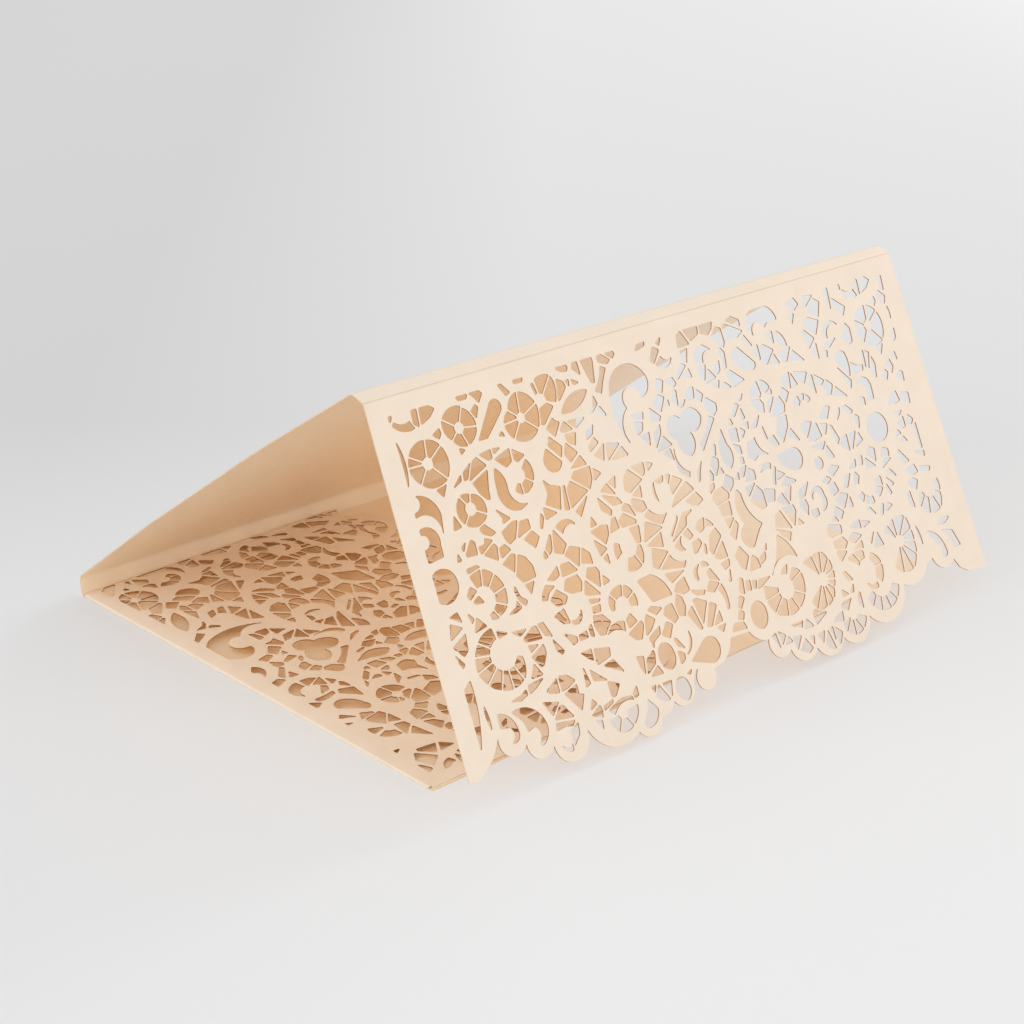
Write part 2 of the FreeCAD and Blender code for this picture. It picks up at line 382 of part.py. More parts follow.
def strip_outline(stations, thickness):
    """Outline of a folded strip; stations are (x, y, bend radius) along its middle."""
    left, right = [], []
    for index, (x, y, bend) in enumerate(stations):
        here = flat_vector(x, y)
        before = flat_vector(*stations[max(index - 1, 0)][:2])
        after = flat_vector(*stations[min(index + 1, len(stations) - 1)][:2])
        incoming = (here - before) if index else (after - here)
        outgoing = (after - here) if index < len(stations) - 1 else incoming
        incoming.normalize()
        outgoing.normalize()
        for side, sign in ((left, 1), (right, -1)):
            normal_in = flat_vector(-incoming.y, incoming.x) * (sign * thickness / 2)
            normal_out = flat_vector(-outgoing.y, outgoing.x) * (sign * thickness / 2)
            if bend == 0:
                side.append((here.x + normal_in.x, here.y + normal_in.y, False))
                continue
            turn = incoming.x * outgoing.y - incoming.y * outgoing.x
            half = acos(max(-1, min(1, incoming.dot(outgoing)))) / 2
            back = bend * sin(half) / cos(half)
            start = here - incoming * back + normal_in
            stop = here + outgoing * back + normal_out
            bisector = outgoing - incoming
            bisector.normalize()
            centre = here + bisector * (bend / cos(half))
            radius = bend - sign * thickness / 2 if turn > 0 else bend + sign * thickness / 2
            middle = centre - bisector * radius
            side.append((start.x, start.y, False))
            side.append((middle.x, middle.y, True))
            side.append((stop.x, stop.y, False))
    return left + right[::-1]


def polygon_area(outline):
    total = 0
    for (x0, y0, _), (x1, y1, _) in zip(outline, outline[1:] + outline[:1]):
        total += x0 * y1 - x1 * y0
    return abs(total) / 2


def add_sizes(document):
    """The driving sizes, each in its own named cell."""
    sheet = document.addObject("Spreadsheet::Sheet", "Sizes")
    for row, (alias, value, note) in enumerate(SIZES, 1):
        sheet.set(f"A{row}", note)
        sheet.set(f"B{row}", str(value))
        sheet.setAlias(f"B{row}", alias)
    document.recompute()
    return {alias: float(sheet.get(alias)) for alias, _, _ in SIZES}


def plane_of(body, role):
    return next(item for item in body.Origin.OriginFeatures if item.Role == role)


def add_pad(body, name, role, outlines, length, symmetric=False, offset=None, bindings=()):
    """A sketch of closed outlines on one of the body's planes, padded by a sheet formula."""
    sketch = body.newObject("Sketcher::SketchObject", name + "_sketch")
    sketch.AttachmentSupport = (plane_of(body, role), "")
    sketch.MapMode = "FlatFace"
    if offset is not None:
        sketch.AttachmentOffset = offset
    for target, formula in bindings:
        sketch.setExpression(target, formula)
    sketch.addGeometry([edge for outline in outlines for edge in edges_of(outline)], False)
    pad = body.newObject("PartDesign::Pad", name)
    pad.Profile = sketch
    pad.SideType = "Symmetric" if symmetric else "One side"
    pad.Refine = False
    pad.setExpression("Length", length)
    return pad


def add_plate(body, name, thickness, edges):
    """A rectangle on the XY plane, held by its four named distances, padded upwards."""
    sketch = body.newObject("Sketcher::SketchObject", name + "_sketch")
    sketch.AttachmentSupport = (plane_of(body, "XY_Plane"), "")
    sketch.MapMode = "FlatFace"
    corners = [(10, -10), (100, -10), (100, -100), (10, -100)]
    for start, stop in zip(corners, corners[1:] + corners[:1]):
        sketch.addGeometry(Part.LineSegment(flat_vector(*start), flat_vector(*stop)), False)
    for side in range(4):
        sketch.addConstraint(Sketcher.Constraint("Coincident", side, 2, (side + 1) % 4, 1))
        sketch.addConstraint(Sketcher.Constraint(("Horizontal", "Vertical")[side % 2], side))
    for direction, line, (label, value, formula) in zip(
            ("DistanceX", "DistanceX", "DistanceY", "DistanceY"), (3, 1, 0, 2), edges):
        number = sketch.addConstraint(Sketcher.Constraint(direction, -1, 1, line, 1, value))
        sketch.renameConstraint(number, label)
        sketch.setExpression("Constraints." + label, formula)
    pad = body.newObject("PartDesign::Pad", name)
    pad.Profile = sketch
    pad.Refine = False
    pad.setExpression("Length", thickness)
    return pad


# ---- the card -------------------------------------------------------------------------------

def folded_side(size):
    """Spine, back panel, ridge and the top of the flap, as seen from the right: (-y is left)."""
    spine = (size["spine_width"] * cos(radians(size["spine_lean"])),
             size["sheet"] / 2 + size["spine_width"] * sin(radians(size["spine_lean"])))
    lean = radians(size["back_lean"])
    bowed = []
    for share in (0.3, 0.7):
        along = share * size["back_depth"]
        bowed.append((spine[0] - along * cos(lean) + size["back_bow"] * sin(lean),
                      spine[1] + along * sin(lean) + size["back_bow"] * cos(lean),
                      4 * size["back_depth"]))
    rear = (spine[0] - size["back_depth"] * cos(lean), spine[1] + size["back_depth"] * sin(lean))
    fall = radians(size["ridge_fall"])
    front = (rear[0] - size["ridge_width"] * cos(fall), rear[1] - size["ridge_width"] * sin(fall))
    tilt = radians(size["flap_tilt"])
    bend = size["fold_bend"]
    return front, [
        (-4 * bend, size["sheet"] / 2, 0),
        (0, size["sheet"] / 2, bend),
        (*spine, bend),
        *bowed,
        (*rear, bend),
        (*front, bend),
        (front[0] - size["flap_lap"] * sin(tilt), front[1] - size["flap_lap"] * cos(tilt), 0),
    ]


def flap_outlines(size):
    """The lace flap laid out flat below the upper fold: its edge, then its openings."""
    along = size["card_length"] / PATTERN_LENGTH
    down = size["flap_reach"] / PATTERN_REACH

    def placed(outline):
        return [(x * along, -y * down, is_via) for x, y, is_via in outline]

    lap = size["flap_lap"] / down
    edge = [(0, lap, False), (0, PATTERN_REACH, False)]
    edge += [(point[0], point[1], len(point) == 3) for point in SCALLOPS]
    edge += [(PATTERN_LENGTH, PATTERN_REACH, False), (PATTERN_LENGTH, lap, False)]
    return [placed(edge)] + [placed(outline) for outline in LACE]


def pocket_outlines(size, start, rim):
    """The pocket seen from above: the flap's pattern turned a quarter, enlarged and cropped."""
    away = size["pocket_reach"] / POCKET_PATTERN_REACH * size["pocket_scale"]
    across = size["base_depth"] / POCKET_PATTERN_WIDTH * size["pocket_scale"]

    def placed(outline):
        result = []
        for x, y, is_via in outline:
            forward = (x - size["pocket_shift"]) * across
            near_spine = max(0, 1 - forward / PULL_ENDS)
            result.append(((y - size["pocket_crop"]) * away - PULL_LEFT * near_spine,
                           PULL_REAR * near_spine - forward, is_via))
        return result

    low, high = -size["base_depth"] + rim, -rim
    lobes = [point for point in placed([(point[0], point[1], len(point) == 3)
                                        for point in SCALLOPS])
             if low + 2 * rim < point[1] < high - 2 * rim]
    while lobes[0][2]:
        lobes = lobes[1:]
    while lobes[-1][2]:
        lobes = lobes[:-1]
    corner = size["pocket_reach"]
    edge = [(start, high, False), (corner, high, False), *lobes, (corner, low, False),
            (start, low, False)]
    openings = []
    border = size["pocket_border"]
    for outline in map(placed, LACE):
        clear_of_sides = all(low + 2 * rim < y < high - rim for _, y, _ in outline)
        cropped = [(max(x, border), y, is_via and x > border) for x, y, is_via in outline]
        if clear_of_sides and polygon_area(cropped) > size["pocket_finest"]:
            openings.append(cropped)
    return [edge] + openings


def add_card(document, size):
    body = document.addObject("PartDesign::Body", "pocket_fold_card")
    body.Label = "pocket_fold_card"
    sheet, bend = size["sheet"], size["pocket_bend"]

    front, stations = folded_side(size)
    add_pad(body, "folded_strip", "YZ_Plane", [strip_outline(stations, sheet)],
            "Sizes.card_length")

    edge_start = sheet / 2 + 2 * bend
    depth = size["base_depth"]
    add_plate(body, "base_panel", "Sizes.sheet", (
        ("left", edge_start, "Sizes.sheet / 2 + 2 * Sizes.pocket_bend"),
        ("right", size["card_length"], "Sizes.card_length"),
        ("rear", -bend, "-Sizes.fold_bend"),
        ("front", -depth, "-Sizes.base_depth")))

    # the pocket: bent over from the left edge, then flat above the base
    level = sheet / 2 + 2 * bend
    turned_over = [(edge_start, sheet / 2, 0), (sheet / 2, sheet / 2, bend),
                   (sheet / 2, level, bend), (edge_start, level, 0)]
    inset = size["pocket_inset"]
    tab_level = 1.5 * sheet
    side_bend = (level - tab_level) / 2
    rim = inset + sheet / 2 + side_bend
    add_pad(body, "pocket_bend_over", "XZ_Plane", [strip_outline(turned_over, sheet)],
            "Sizes.base_depth - 2 * Sizes.pocket_inset - 4 * Sizes.pocket_bend",
            bindings=(("AttachmentOffset.Base.z", "Sizes.pocket_inset + 2 * Sizes.pocket_bend"),))
    add_pad(body, "pocket_lace", "XY_Plane", pocket_outlines(size, edge_start, rim),
            "Sizes.sheet", symmetric=True,
            bindings=(("AttachmentOffset.Base.z", "Sizes.sheet / 2 + 2 * Sizes.pocket_bend"),))

    # each side of the pocket is folded under, with a tab glued down on the base
    tab_start, tab_stop = 3 * bend, size["pocket_reach"] - 3 * bend
    tab = size["tab_width"]
    for name, outer, inwards in (("rear", -inset - sheet / 2, -1),
                                 ("front", -depth + inset + sheet / 2, 1)):
        inner = outer + inwards * 2 * side_bend
        under = [(inner, level, 0), (outer, level, side_bend), (outer, tab_level, side_bend),
                 (inner, tab_level, 0)]
        add_pad(body, "pocket_" + name + "_fold", "YZ_Plane", [strip_outline(under, sheet)],
                "Sizes.pocket_reach - 6 * Sizes.pocket_bend",
                bindings=(("AttachmentOffset.Base.z", "3 * Sizes.pocket_bend"),))
        far = outer + inwards * tab
        mitred = [(tab_start, inner), (tab_start + tab / 2, far), (tab_stop - tab / 2, far),
                  (tab_stop, inner)]
        add_pad(body, "pocket_" + name + "_tab", "XY_Plane", [[(x, y, False) for x, y in mitred]],
                "Sizes.sheet", bindings=(("AttachmentOffset.Base.z", "Sizes.sheet"),))

    # the lace flap hangs from the front of the ridge
    hinge_line = FreeCAD.Placement(
        FreeCAD.Vector(0, front[1], -front[0]),
        FreeCAD.Rotation(FreeCAD.Vector(1, 0, 0), -size["flap_tilt"]))
    spine_run = "Sizes.spine_width * {0}(Sizes.spine_lean) "
    back_run = "Sizes.back_depth * {0}(Sizes.back_lean) "
    ridge_run = "Sizes.ridge_width * {0}(Sizes.ridge_fall)"
    height = ("Sizes.sheet / 2 + " + spine_run + "+ " + back_run + "- " + ridge_run).format("sin")
    reach = ("-" + spine_run + "+ " + back_run + "+ " + ridge_run).format("cos")
    add_pad(body, "lace_flap", "XZ_Plane", flap_outlines(size), "Sizes.sheet", symmetric=True,
            offset=hinge_line,
            bindings=(("AttachmentOffset.Base.y", height), ("AttachmentOffset.Base.z", reach),
                      ("AttachmentOffset.Rotation.Angle", "-Sizes.flap_tilt")))
    document.recompute()
    box = body.Shape.BoundBox
    body.Placement.Base = FreeCAD.Vector(-box.Center.x, -box.Center.y, -box.ZMin)
    return body


def write_parts(document, bodies):
    """Stops at anything that failed, then writes each sub-part to its own file."""
    document.recompute()
    for item in document.Objects:
        if "Invalid" in item.State or "Error" in item.State:
            raise RuntimeError(f"{item.Name} did not build: {item.State}")
    for body in bodies:
        if body.Shape.isNull() or not body.Shape.isValid() or len(body.Shape.Solids) != 1:
            raise RuntimeError(f"{body.Label} is not one sound solid")
    os.makedirs("parts", exist_ok=True)
    for body in bodies:
        body.Shape.exportStep(f"parts/{body.Label}.step")
        print(body.Label, "volume", round(body.Shape.Volume, 1), "mm3,", body.Shape.BoundBox)


document = FreeCAD.newDocument("PocketFoldCard")
write_parts(document, [add_card(document, add_sizes(document))])
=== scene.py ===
from math import acos, atan2, ceil, cos, hypot, pi, radians, sin

import bpy
import numpy as np
from mathutils import Matrix, Vector
from mathutils.geometry import delaunay_2d_cdt
from mathutils.kdtree import KDTree


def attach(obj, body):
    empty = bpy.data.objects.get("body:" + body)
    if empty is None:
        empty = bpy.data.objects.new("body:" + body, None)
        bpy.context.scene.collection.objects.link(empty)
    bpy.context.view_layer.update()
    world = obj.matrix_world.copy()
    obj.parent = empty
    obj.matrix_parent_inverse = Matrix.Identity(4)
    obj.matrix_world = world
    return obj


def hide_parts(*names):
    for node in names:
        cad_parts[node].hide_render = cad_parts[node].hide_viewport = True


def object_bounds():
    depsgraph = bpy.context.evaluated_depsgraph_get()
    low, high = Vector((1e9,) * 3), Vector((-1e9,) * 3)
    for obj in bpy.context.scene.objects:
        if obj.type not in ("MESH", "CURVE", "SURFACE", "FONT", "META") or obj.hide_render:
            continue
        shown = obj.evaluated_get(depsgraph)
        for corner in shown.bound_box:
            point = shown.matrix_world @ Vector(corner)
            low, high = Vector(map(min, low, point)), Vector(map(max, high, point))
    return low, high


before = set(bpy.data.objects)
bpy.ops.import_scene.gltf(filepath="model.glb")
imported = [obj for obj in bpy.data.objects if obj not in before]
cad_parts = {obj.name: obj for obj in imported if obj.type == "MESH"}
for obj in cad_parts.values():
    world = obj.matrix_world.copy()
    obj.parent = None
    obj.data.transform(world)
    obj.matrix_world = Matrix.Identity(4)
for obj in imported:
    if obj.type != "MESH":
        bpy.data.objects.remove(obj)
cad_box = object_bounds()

# A laser-cut pocket fold card in pearl card, standing as a tent. Two flat cuttings are laid out in
# millimetres and folded up point by point:
#   card     base, spine, back panel, ridge and lace flap (u along the folds, v round the folds)
#   pocket   the lace turned over the base from its left edge, with a glued tab under each side
# Card millimetres have x = 0 at the left edge, y = 0 at the spine and z = 0 on the floor.

MM = 0.001
CARD_LENGTH = (cad_box[1][0] - cad_box[0][0]) / MM
BASE_DEPTH = 133.35
BACK_DEPTH = 133.35
SHEET = 0.3               # thickness of the card
FOLD_BEND = 0.6           # middle radius of the fold along the base
SOFT_BEND = 1.9           # and of the three that stand up, which spring open
FOLD_STEPS = 8            # facets across a fold
SCORE_FROM = 3            # facets from either side of a fold to the score line in its middle
SPINE_WIDTH, SPINE_LEAN = 5.2, radians(80)
BACK_LEAN, BACK_BOW = radians(36.5), 1.2
BOW_AT, BOW_BEND = (0.3, 0.7), 4 * BACK_DEPTH    # where up the back it bows, and how softly
RIDGE_WIDTH, RIDGE_FALL = 4.1, radians(17)
FLAP_REACH, FLAP_TILT = 86.0, radians(26.4)
FLAP_RUN = 100.0          # length of the section's last run, enough for the longest scallop
TRIM_BELOW, TRIM_IN = 2.0, 0.5       # how far below the fold and in from the side it is trimmed
NEAR_FOOT, FAR_FOOT = -2.7, 2.5      # how far each foot stands outside the flat flap
NEAR_RISE, FAR_DROP = 0.0215, 0.019  # how much shorter and longer than the middle its ends hang
POCKET_BEND = 0.3         # middle radius of the crease that carries the pocket
POCKET_LEFT = SHEET / 2 + POCKET_BEND    # where that crease ends, on top
CREASE_STOPS = 1.0        # how far from the spine it ends
CREASE_MITRE = 0.4        # how much shorter than the pocket it is at each end, underneath
POCKET_REACH = 84.5
POCKET_SIDES = 1.0        # edges of the base to the folds along the pocket's sides
POCKET_RISE = 0.012       # slope of the pocket's sides away from its crease
POCKET_LIFT = 1.6         # how far its middle springs up
LIFT_STARTS = 7.0         # how far from the crease it does so
TAB_WIDTH = 11.0          # of the glued tabs, over which their ends slant
TAB_FOOT = 1.0            # and before that
TAB_LEVEL = 1.5 * SHEET   # middle of the tabs, which lie on the base
TAB_START, TAB_STOP = 0.9, POCKET_REACH - 1.6    # ends of the folds that carry them
TAB_ROLL = 2.1            # flat length round those folds
TAB_BEND = 0.2            # least middle radius of those folds
CREASE_IN, TAB_IN = 0.5, 0.6         # how far inside their ends the mesh's lines along folds stop
LOBE_IN = 2.0             # how far from the pocket's sides its scallops stop
GRID_START = 2.0          # where its inner points start, clear of the crease
POCKET_SHIFT, POCKET_CROP = 26.6, 4.9    # where the pocket's pattern starts on the flap's
POCKET_SCALE = 1.04
PULL_LEFT, PULL_REAR = 1.6, 2.7          # how far it is drawn out beside the spine
PULL_ENDS = 62.0          # how far from the spine that ends
CREASE_BORDER = 4.3       # solid border along the crease, which cuts the openings off
REAR_BORDER, FRONT_BORDER = 0.1, 3.0     # and along the sides

BAR = 0.65                # spoke left standing between two openings of a wheel
FINEST_THREAD = 0.36      # least thread left between openings once the laser has widened them
LASER_WIDENS = 0.16       # the most that one side of an opening moves
LEAST_HUB = radians(6)    # half the arc along its hub below which an opening ends in a point
LEAST_OPENING = 0.8       # least width that a border leaves of an opening
CORNER_ROUND = 0.32       # how far from a corner the laser begins to round it
CORNER_SHARE = 0.4        # but no further than this share of a side
SHORT_SIDE = 0.05         # side too short for that
CORNER_TURN = radians(12)                # gentlest turn that it rounds
ARC_STEP, ARC_TURN = 0.55, radians(14)   # longest step along an arc, and most turned in it
FLAT_ARC = 1e-6           # twice the area of its three points below which an arc is straight
RIM_STEP = 0.8            # longest step round an opening
CREASE_STEP = 4.0         # and along a crease
GRID = 3.2                # spacing of the points inside the sheet, which let it bend
SAME_POINT = 1e-5         # distance within which two points of a cutting become one
SLOPE_STEP = 0.02         # from a point to where the slope of its fold is measured
SHARP_EDGE = radians(50)  # turn from which an edge is shaded sharp


# ---- openings of the lace: each is a list of (x, y, is_arc_point), y down from the upper fold --

def lace(*parts):
    """All openings of the parts. A bare tuple x, y, x, y ... is an opening with straight sides."""
    openings = []
    for part in parts:
        if isinstance(part, tuple):
            part = [[(x, y, False) for x, y in zip(part[::2], part[1::2])]]
        openings += part
    return openings


def cut(*points):
    """Opening whose triples (x, y, 1) are points that an arc passes through."""
    return [[(point[0], point[1], len(point) == 3) for point in points]]


def petal(x0, y0, x1, y1, left, right):
    """Pointed leaf between two ends; left and right are its bulges as shares of its length."""
    dx, dy = (x1 - x0) / 2, (y1 - y0) / 2
    middle_x, middle_y = (x0 + x1) / 2, (y0 + y1) / 2
    return [[(x0, y0, False), (middle_x + dy * left, middle_y - dx * left, True),
             (x1, y1, False), (middle_x - dy * right, middle_y + dx * right, True)]]


def drop(tip_x, tip_y, x, y, radius):
    """Teardrop: a disc round (x, y) with two straight sides to its tip."""
    aim = atan2(y - tip_y, x - tip_x)
    open_angle = pi - acos(radius / hypot(x - tip_x, y - tip_y))
    outline = [(tip_x, tip_y, False)]
    for angle, is_via in ((aim + open_angle, False), (aim, True), (aim - open_angle, False)):
        outline.append((x + radius * cos(angle), y + radius * sin(angle), is_via))
    return [outline]


def ring(x, y, radius_x, radius_y, tilt=0):
    """Oval opening of four arcs."""
    outline = []
    for eighth in range(8):
        across = radius_x * cos(eighth * pi / 4)
        along = radius_y * sin(eighth * pi / 4)
        outline.append((x + across * cos(radians(tilt)) - along * sin(radians(tilt)),
                        y + across * sin(radians(tilt)) + along * cos(radians(tilt)),
                        eighth % 2 == 1))
    return [outline]


def wheel(x, y, hub, *spokes):
    """Openings between neighbouring spokes (degrees, rim radius) round a solid hub."""
    def polar(angle, radius, is_via=False):
        return (x + radius * cos(angle), y + radius * sin(angle), is_via)

    openings = []
    for (start, start_rim), (stop, stop_rim) in zip(spokes, spokes[1:]):
        if stop < start:
            (start, start_rim), (stop, stop_rim) = (stop, stop_rim), (start, start_rim)
        start, stop = radians(start), radians(stop)
        middle = (start + stop) / 2
        rim = (start_rim + stop_rim) / 2
        outline = [polar(start + BAR / 2 / start_rim, start_rim), polar(middle, rim, True),
                   polar(stop - BAR / 2 / stop_rim, stop_rim)]
        half_hub = (stop - start - BAR / hub) / 2
        if half_hub > LEAST_HUB:
            outline += [polar(middle + half_hub, hub), polar(middle, hub, True),
                        polar(middle - half_hub, hub)]
        else:
            outline.append(polar(middle, hub))
        openings.append(outline)
    return openings


def moved(openings, dx):
    """The same openings further along the card."""
    return [[(x + dx, y, is_via) for x, y, is_via in outline] for outline in openings]


CORNER = lace(
    wheel(9, 2.6, 4.1, (62, 6.1), (134, 4.9)), (11.9, 4.2, 13.3, 4.2, 12.9, 8.1, 11.5, 7.2),
    (14.1, 4.2, 16.6, 4.2, 18.2, 5.2, 16.3, 6.8, 13.7, 7.8),
    wheel(12.4, 16.4, 1.6, (-81, 5.2), (-33, 5.5), (46, 6), (128, 5), (182, 5.2), (209, 5.2),
          (279, 5.2)),
    (15.8, 10.7, 18, 9.7, 18.2, 10.9, 17.3, 12), (12.8, 22.5, 15.8, 21.9, 14.2, 24.4),
)
UPPER_LEFT = lace(
    (5.4, 4.2, 6.3, 4.2, 5.7, 5.3, 5.4, 5.4), petal(5.6, 10, 5.6, 20, 0.18, -0.04),
    wheel(23.5, 10.9, 1.5, (-64, 4.6), (8, 4.9), (72, 4.4), (140, 3.5), (214, 4.9), (296, 4.9)),
    (22, 15.3, 23.5, 15.9, 22.1, 16.7), (24.9, 4.2, 28.2, 4.2, 27.8, 5.1, 25.3, 5.1),
    (28.8, 4.2, 31.7, 4.2, 32.5, 4.9, 30.9, 6.8, 30.2, 5.6),
    (27.9, 8.3, 29.6, 6.9, 30.3, 7.6, 29.1, 9.9),
    cut((28, 14.9), (33.4, 8.1), (36.3, 7.5, 1), (36.2, 10.2), (30.6, 14.9)),
    (37.5, 4.2, 38.5, 4.2, 40.5, 6.5, 39.1, 7), (42.2, 4.2, 45.3, 4.2, 44.9, 5, 42.4, 5),
    wheel(41.6, 12.8, 1.4, (-82, 5.9), (-23, 5.8), (39, 5.4), (129, 5.3), (176, 5.2), (218, 4),
          (278, 5.9)),
    (34, 15.2, 35, 14.4, 35.6, 15.6), wheel(48.9, 10.4, 1.7, (-97, 5), (-48, 6.6), (20, 4.4)),
    (47.1, 6.2, 47.8, 6, 48.3, 8.4, 47.8, 8.7),
    (50.2, 11.3, 52, 12.4, 48, 15.8, 47, 15.7, 47.6, 12.2),
    (55, 6.7, 57, 7.7, 57.3, 9.1, 54.4, 11.6, 54, 11.3), (57.6, 7.5, 58.8, 7.6, 58.4, 9.1),
    (59.5, 7.7, 61.6, 8.9, 59.8, 9.1), petal(53.9, 14.6, 63.4, 11.1, 0.36, 0.3),
    (55.7, 4.2, 59.3, 4.2, 59.5, 5, 58.8, 5.6, 56.8, 5.2),
    (61.3, 4.2, 62.8, 4.2, 62.8, 7.3, 60.7, 5.4),
    cut((6.8, 22.4), (10.3, 24.1, 1), (12.1, 28), (11.4, 32), (10.4, 28.3, 1), (5.4, 26.9),
        (5.4, 25.9), (7.4, 24.6, 1)),
    cut((5.4, 29.7), (9, 30.6, 1), (9.8, 34), (9.7, 36.8), (5.4, 37.2), (5.4, 34.3),
        (7.2, 32.2, 1), (5.4, 30.8)),
    cut((5.4, 40), (11.5, 42.8, 1), (5.4, 46.2)),
    wheel(20.5, 28.8, 1.7, (-75, 3.3), (28, 4.5), (130, 3.8), (237, 3.9), (285, 3.3)),
    (14.4, 32.2, 15.4, 29.1, 16.7, 31.9), (17.6, 23.2, 20.3, 20.9, 20.1, 22.2),
    (20.9, 22.4, 21.2, 20.6, 24, 18.9, 22, 22.3), (22.4, 22.8, 24.2, 19, 25.8, 18.2, 28.1, 20.6),
    (23.1, 23.5, 28, 21.7, 26.8, 26, 26.6, 28.1, 25.8, 27.9, 24.2, 26.2),
    (26.9, 17.9, 30.4, 17.5, 30.3, 19.5, 29, 19.7), (31, 17.5, 33.2, 17.8, 31, 18.7),
    (30.9, 19.9, 35.7, 18.5, 35.5, 21.5, 33.6, 22.4), (36.4, 18.9, 39.6, 21, 37.2, 22, 36.4, 21.4),
    cut((30.1, 21.9), (31.8, 24, 1), (32.2, 27.2), (33.4, 30.2, 1), (36.7, 31.6), (34.4, 32.4),
        (30, 30.2, 1), (29.2, 27), (29.4, 24)),
    wheel(36.4, 25, 2, (-48, 4.3), (33, 4.3), (88, 4.3), (128, 3.7)),
    cut((46.2, 21.2), (49.9, 25.1), (47, 26.8, 1), (45.2, 22.6)),
    (48.1, 18.8, 51.2, 21.8, 50.2, 24.1, 47.2, 20.8),
    (51.3, 23.7, 52.5, 21.3, 55.3, 24.2, 52.5, 25.8),
    (53.1, 19.5, 56.4, 19.7, 55.3, 22.5, 53.2, 21.2),
    (51.9, 18.2, 53.8, 16.5, 55.8, 18.7, 53, 18.9), (54.9, 16.7, 60.3, 17, 57, 18.7, 56.4, 18.2),
    (48.1, 17, 50.7, 14.9, 51.3, 15.8, 52.5, 16.3, 50.1, 19.2), (52, 27.3, 55.7, 25, 57, 27.4),
    (51.3, 29.4, 52.6, 28.1, 57.7, 28.1, 57.4, 31, 56, 33.1), (58.4, 28.8, 60.5, 30.4, 58, 31.6),
    (42.8, 27.8, 44.4, 29.4, 47.3, 30.4, 45.7, 35.4, 41.8, 33.2, 43.3, 31),
    (48.1, 30.5, 48.7, 30.5, 48.3, 36, 46.9, 35.9), (49.1, 31.6, 50.6, 29.9, 55.1, 33.3, 49, 35.9),
    (49.9, 37, 54.4, 34.4, 51, 38.5), (59.6, 20.3, 62.3, 19.2, 61.4, 21.2, 59.1, 22.1),
    (59.2, 23.6, 61.4, 22, 62.4, 23.5, 59.1, 25),
    (21.4, 33.7, 22.8, 32.9, 25.5, 35.5, 24, 35.9, 22, 34.9),
    (27.2, 30.7, 30.6, 33.5, 28.2, 34.2, 28.6, 33),
    (15.8, 38, 18.1, 35.3, 19, 36, 18.9, 38.8, 16, 38.6), (15.1, 36.2, 16.5, 35.4, 15.4, 37.3),
    (13, 39, 13.6, 37.3, 14.2, 39), (19.7, 37.4, 21.5, 37.3, 22, 36, 24, 36.9, 20, 39.1),
    (20.7, 39.5, 24, 37.7, 24.8, 38.6, 24.1, 41.6), (25.2, 39.2, 27, 38.7, 28.3, 40.2, 25.2, 41.4),
    (27.2, 35.9, 30.9, 34.4, 32.3, 34.5, 30.5, 38.2, 28.5, 39, 27.7, 37.8),
    (31.3, 38.3, 33, 34.9, 35.5, 35, 35.5, 37.1), (32.8, 39.1, 35.6, 37.8, 37.3, 39.6, 35.4, 41.7),
    (38.3, 37.9, 39.5, 34.7, 40.1, 35.8, 38.9, 38.1), (40.7, 33.7, 44.3, 35.8, 40.6, 36.5),
    (14.9, 42.2, 14.8, 41.2, 17.6, 41, 18.5, 41.6), (25, 42.8, 28, 41.2, 29.1, 41.6, 27.7, 45.3),
    (27.9, 46.2, 29.8, 41.9, 31.6, 42.8, 33.1, 45.2, 33.2, 47.8, 29.2, 48.1),
    (43.1, 45.6, 45, 44, 48, 45.1, 46.3, 49),
    (38.1, 42.8, 40.3, 39.9, 40.6, 40.4, 39.9, 43.3, 38.8, 44.3),
    (41.7, 39.2, 44.4, 43.3, 42.7, 45.1, 40.4, 44.3, 41, 41.4),
    (37.1, 43.7, 37.7, 43, 38.2, 44.6, 37, 44.8),
    cut((42.8, 38.9), (46.4, 38, 1), (48.6, 39.6), (46.5, 39.1, 1), (44.3, 40.7)),
    (52.9, 41.6, 53.8, 39.3, 54.9, 41.3), (52.5, 42.6, 56, 41.9, 58, 42.4, 57.6, 44.5, 56, 46.4),
    (57.3, 35.6, 60.6, 39.4, 60, 40.6, 57.5, 38.5),
    (58.9, 35.5, 63.4, 37.1, 64.4, 38.6, 61.2, 38.4), (58.8, 34.5, 61.2, 33.1, 63.1, 36.1),
    (58.2, 44.3, 59.8, 41.2, 61, 41.2, 61.4, 43.8),
)
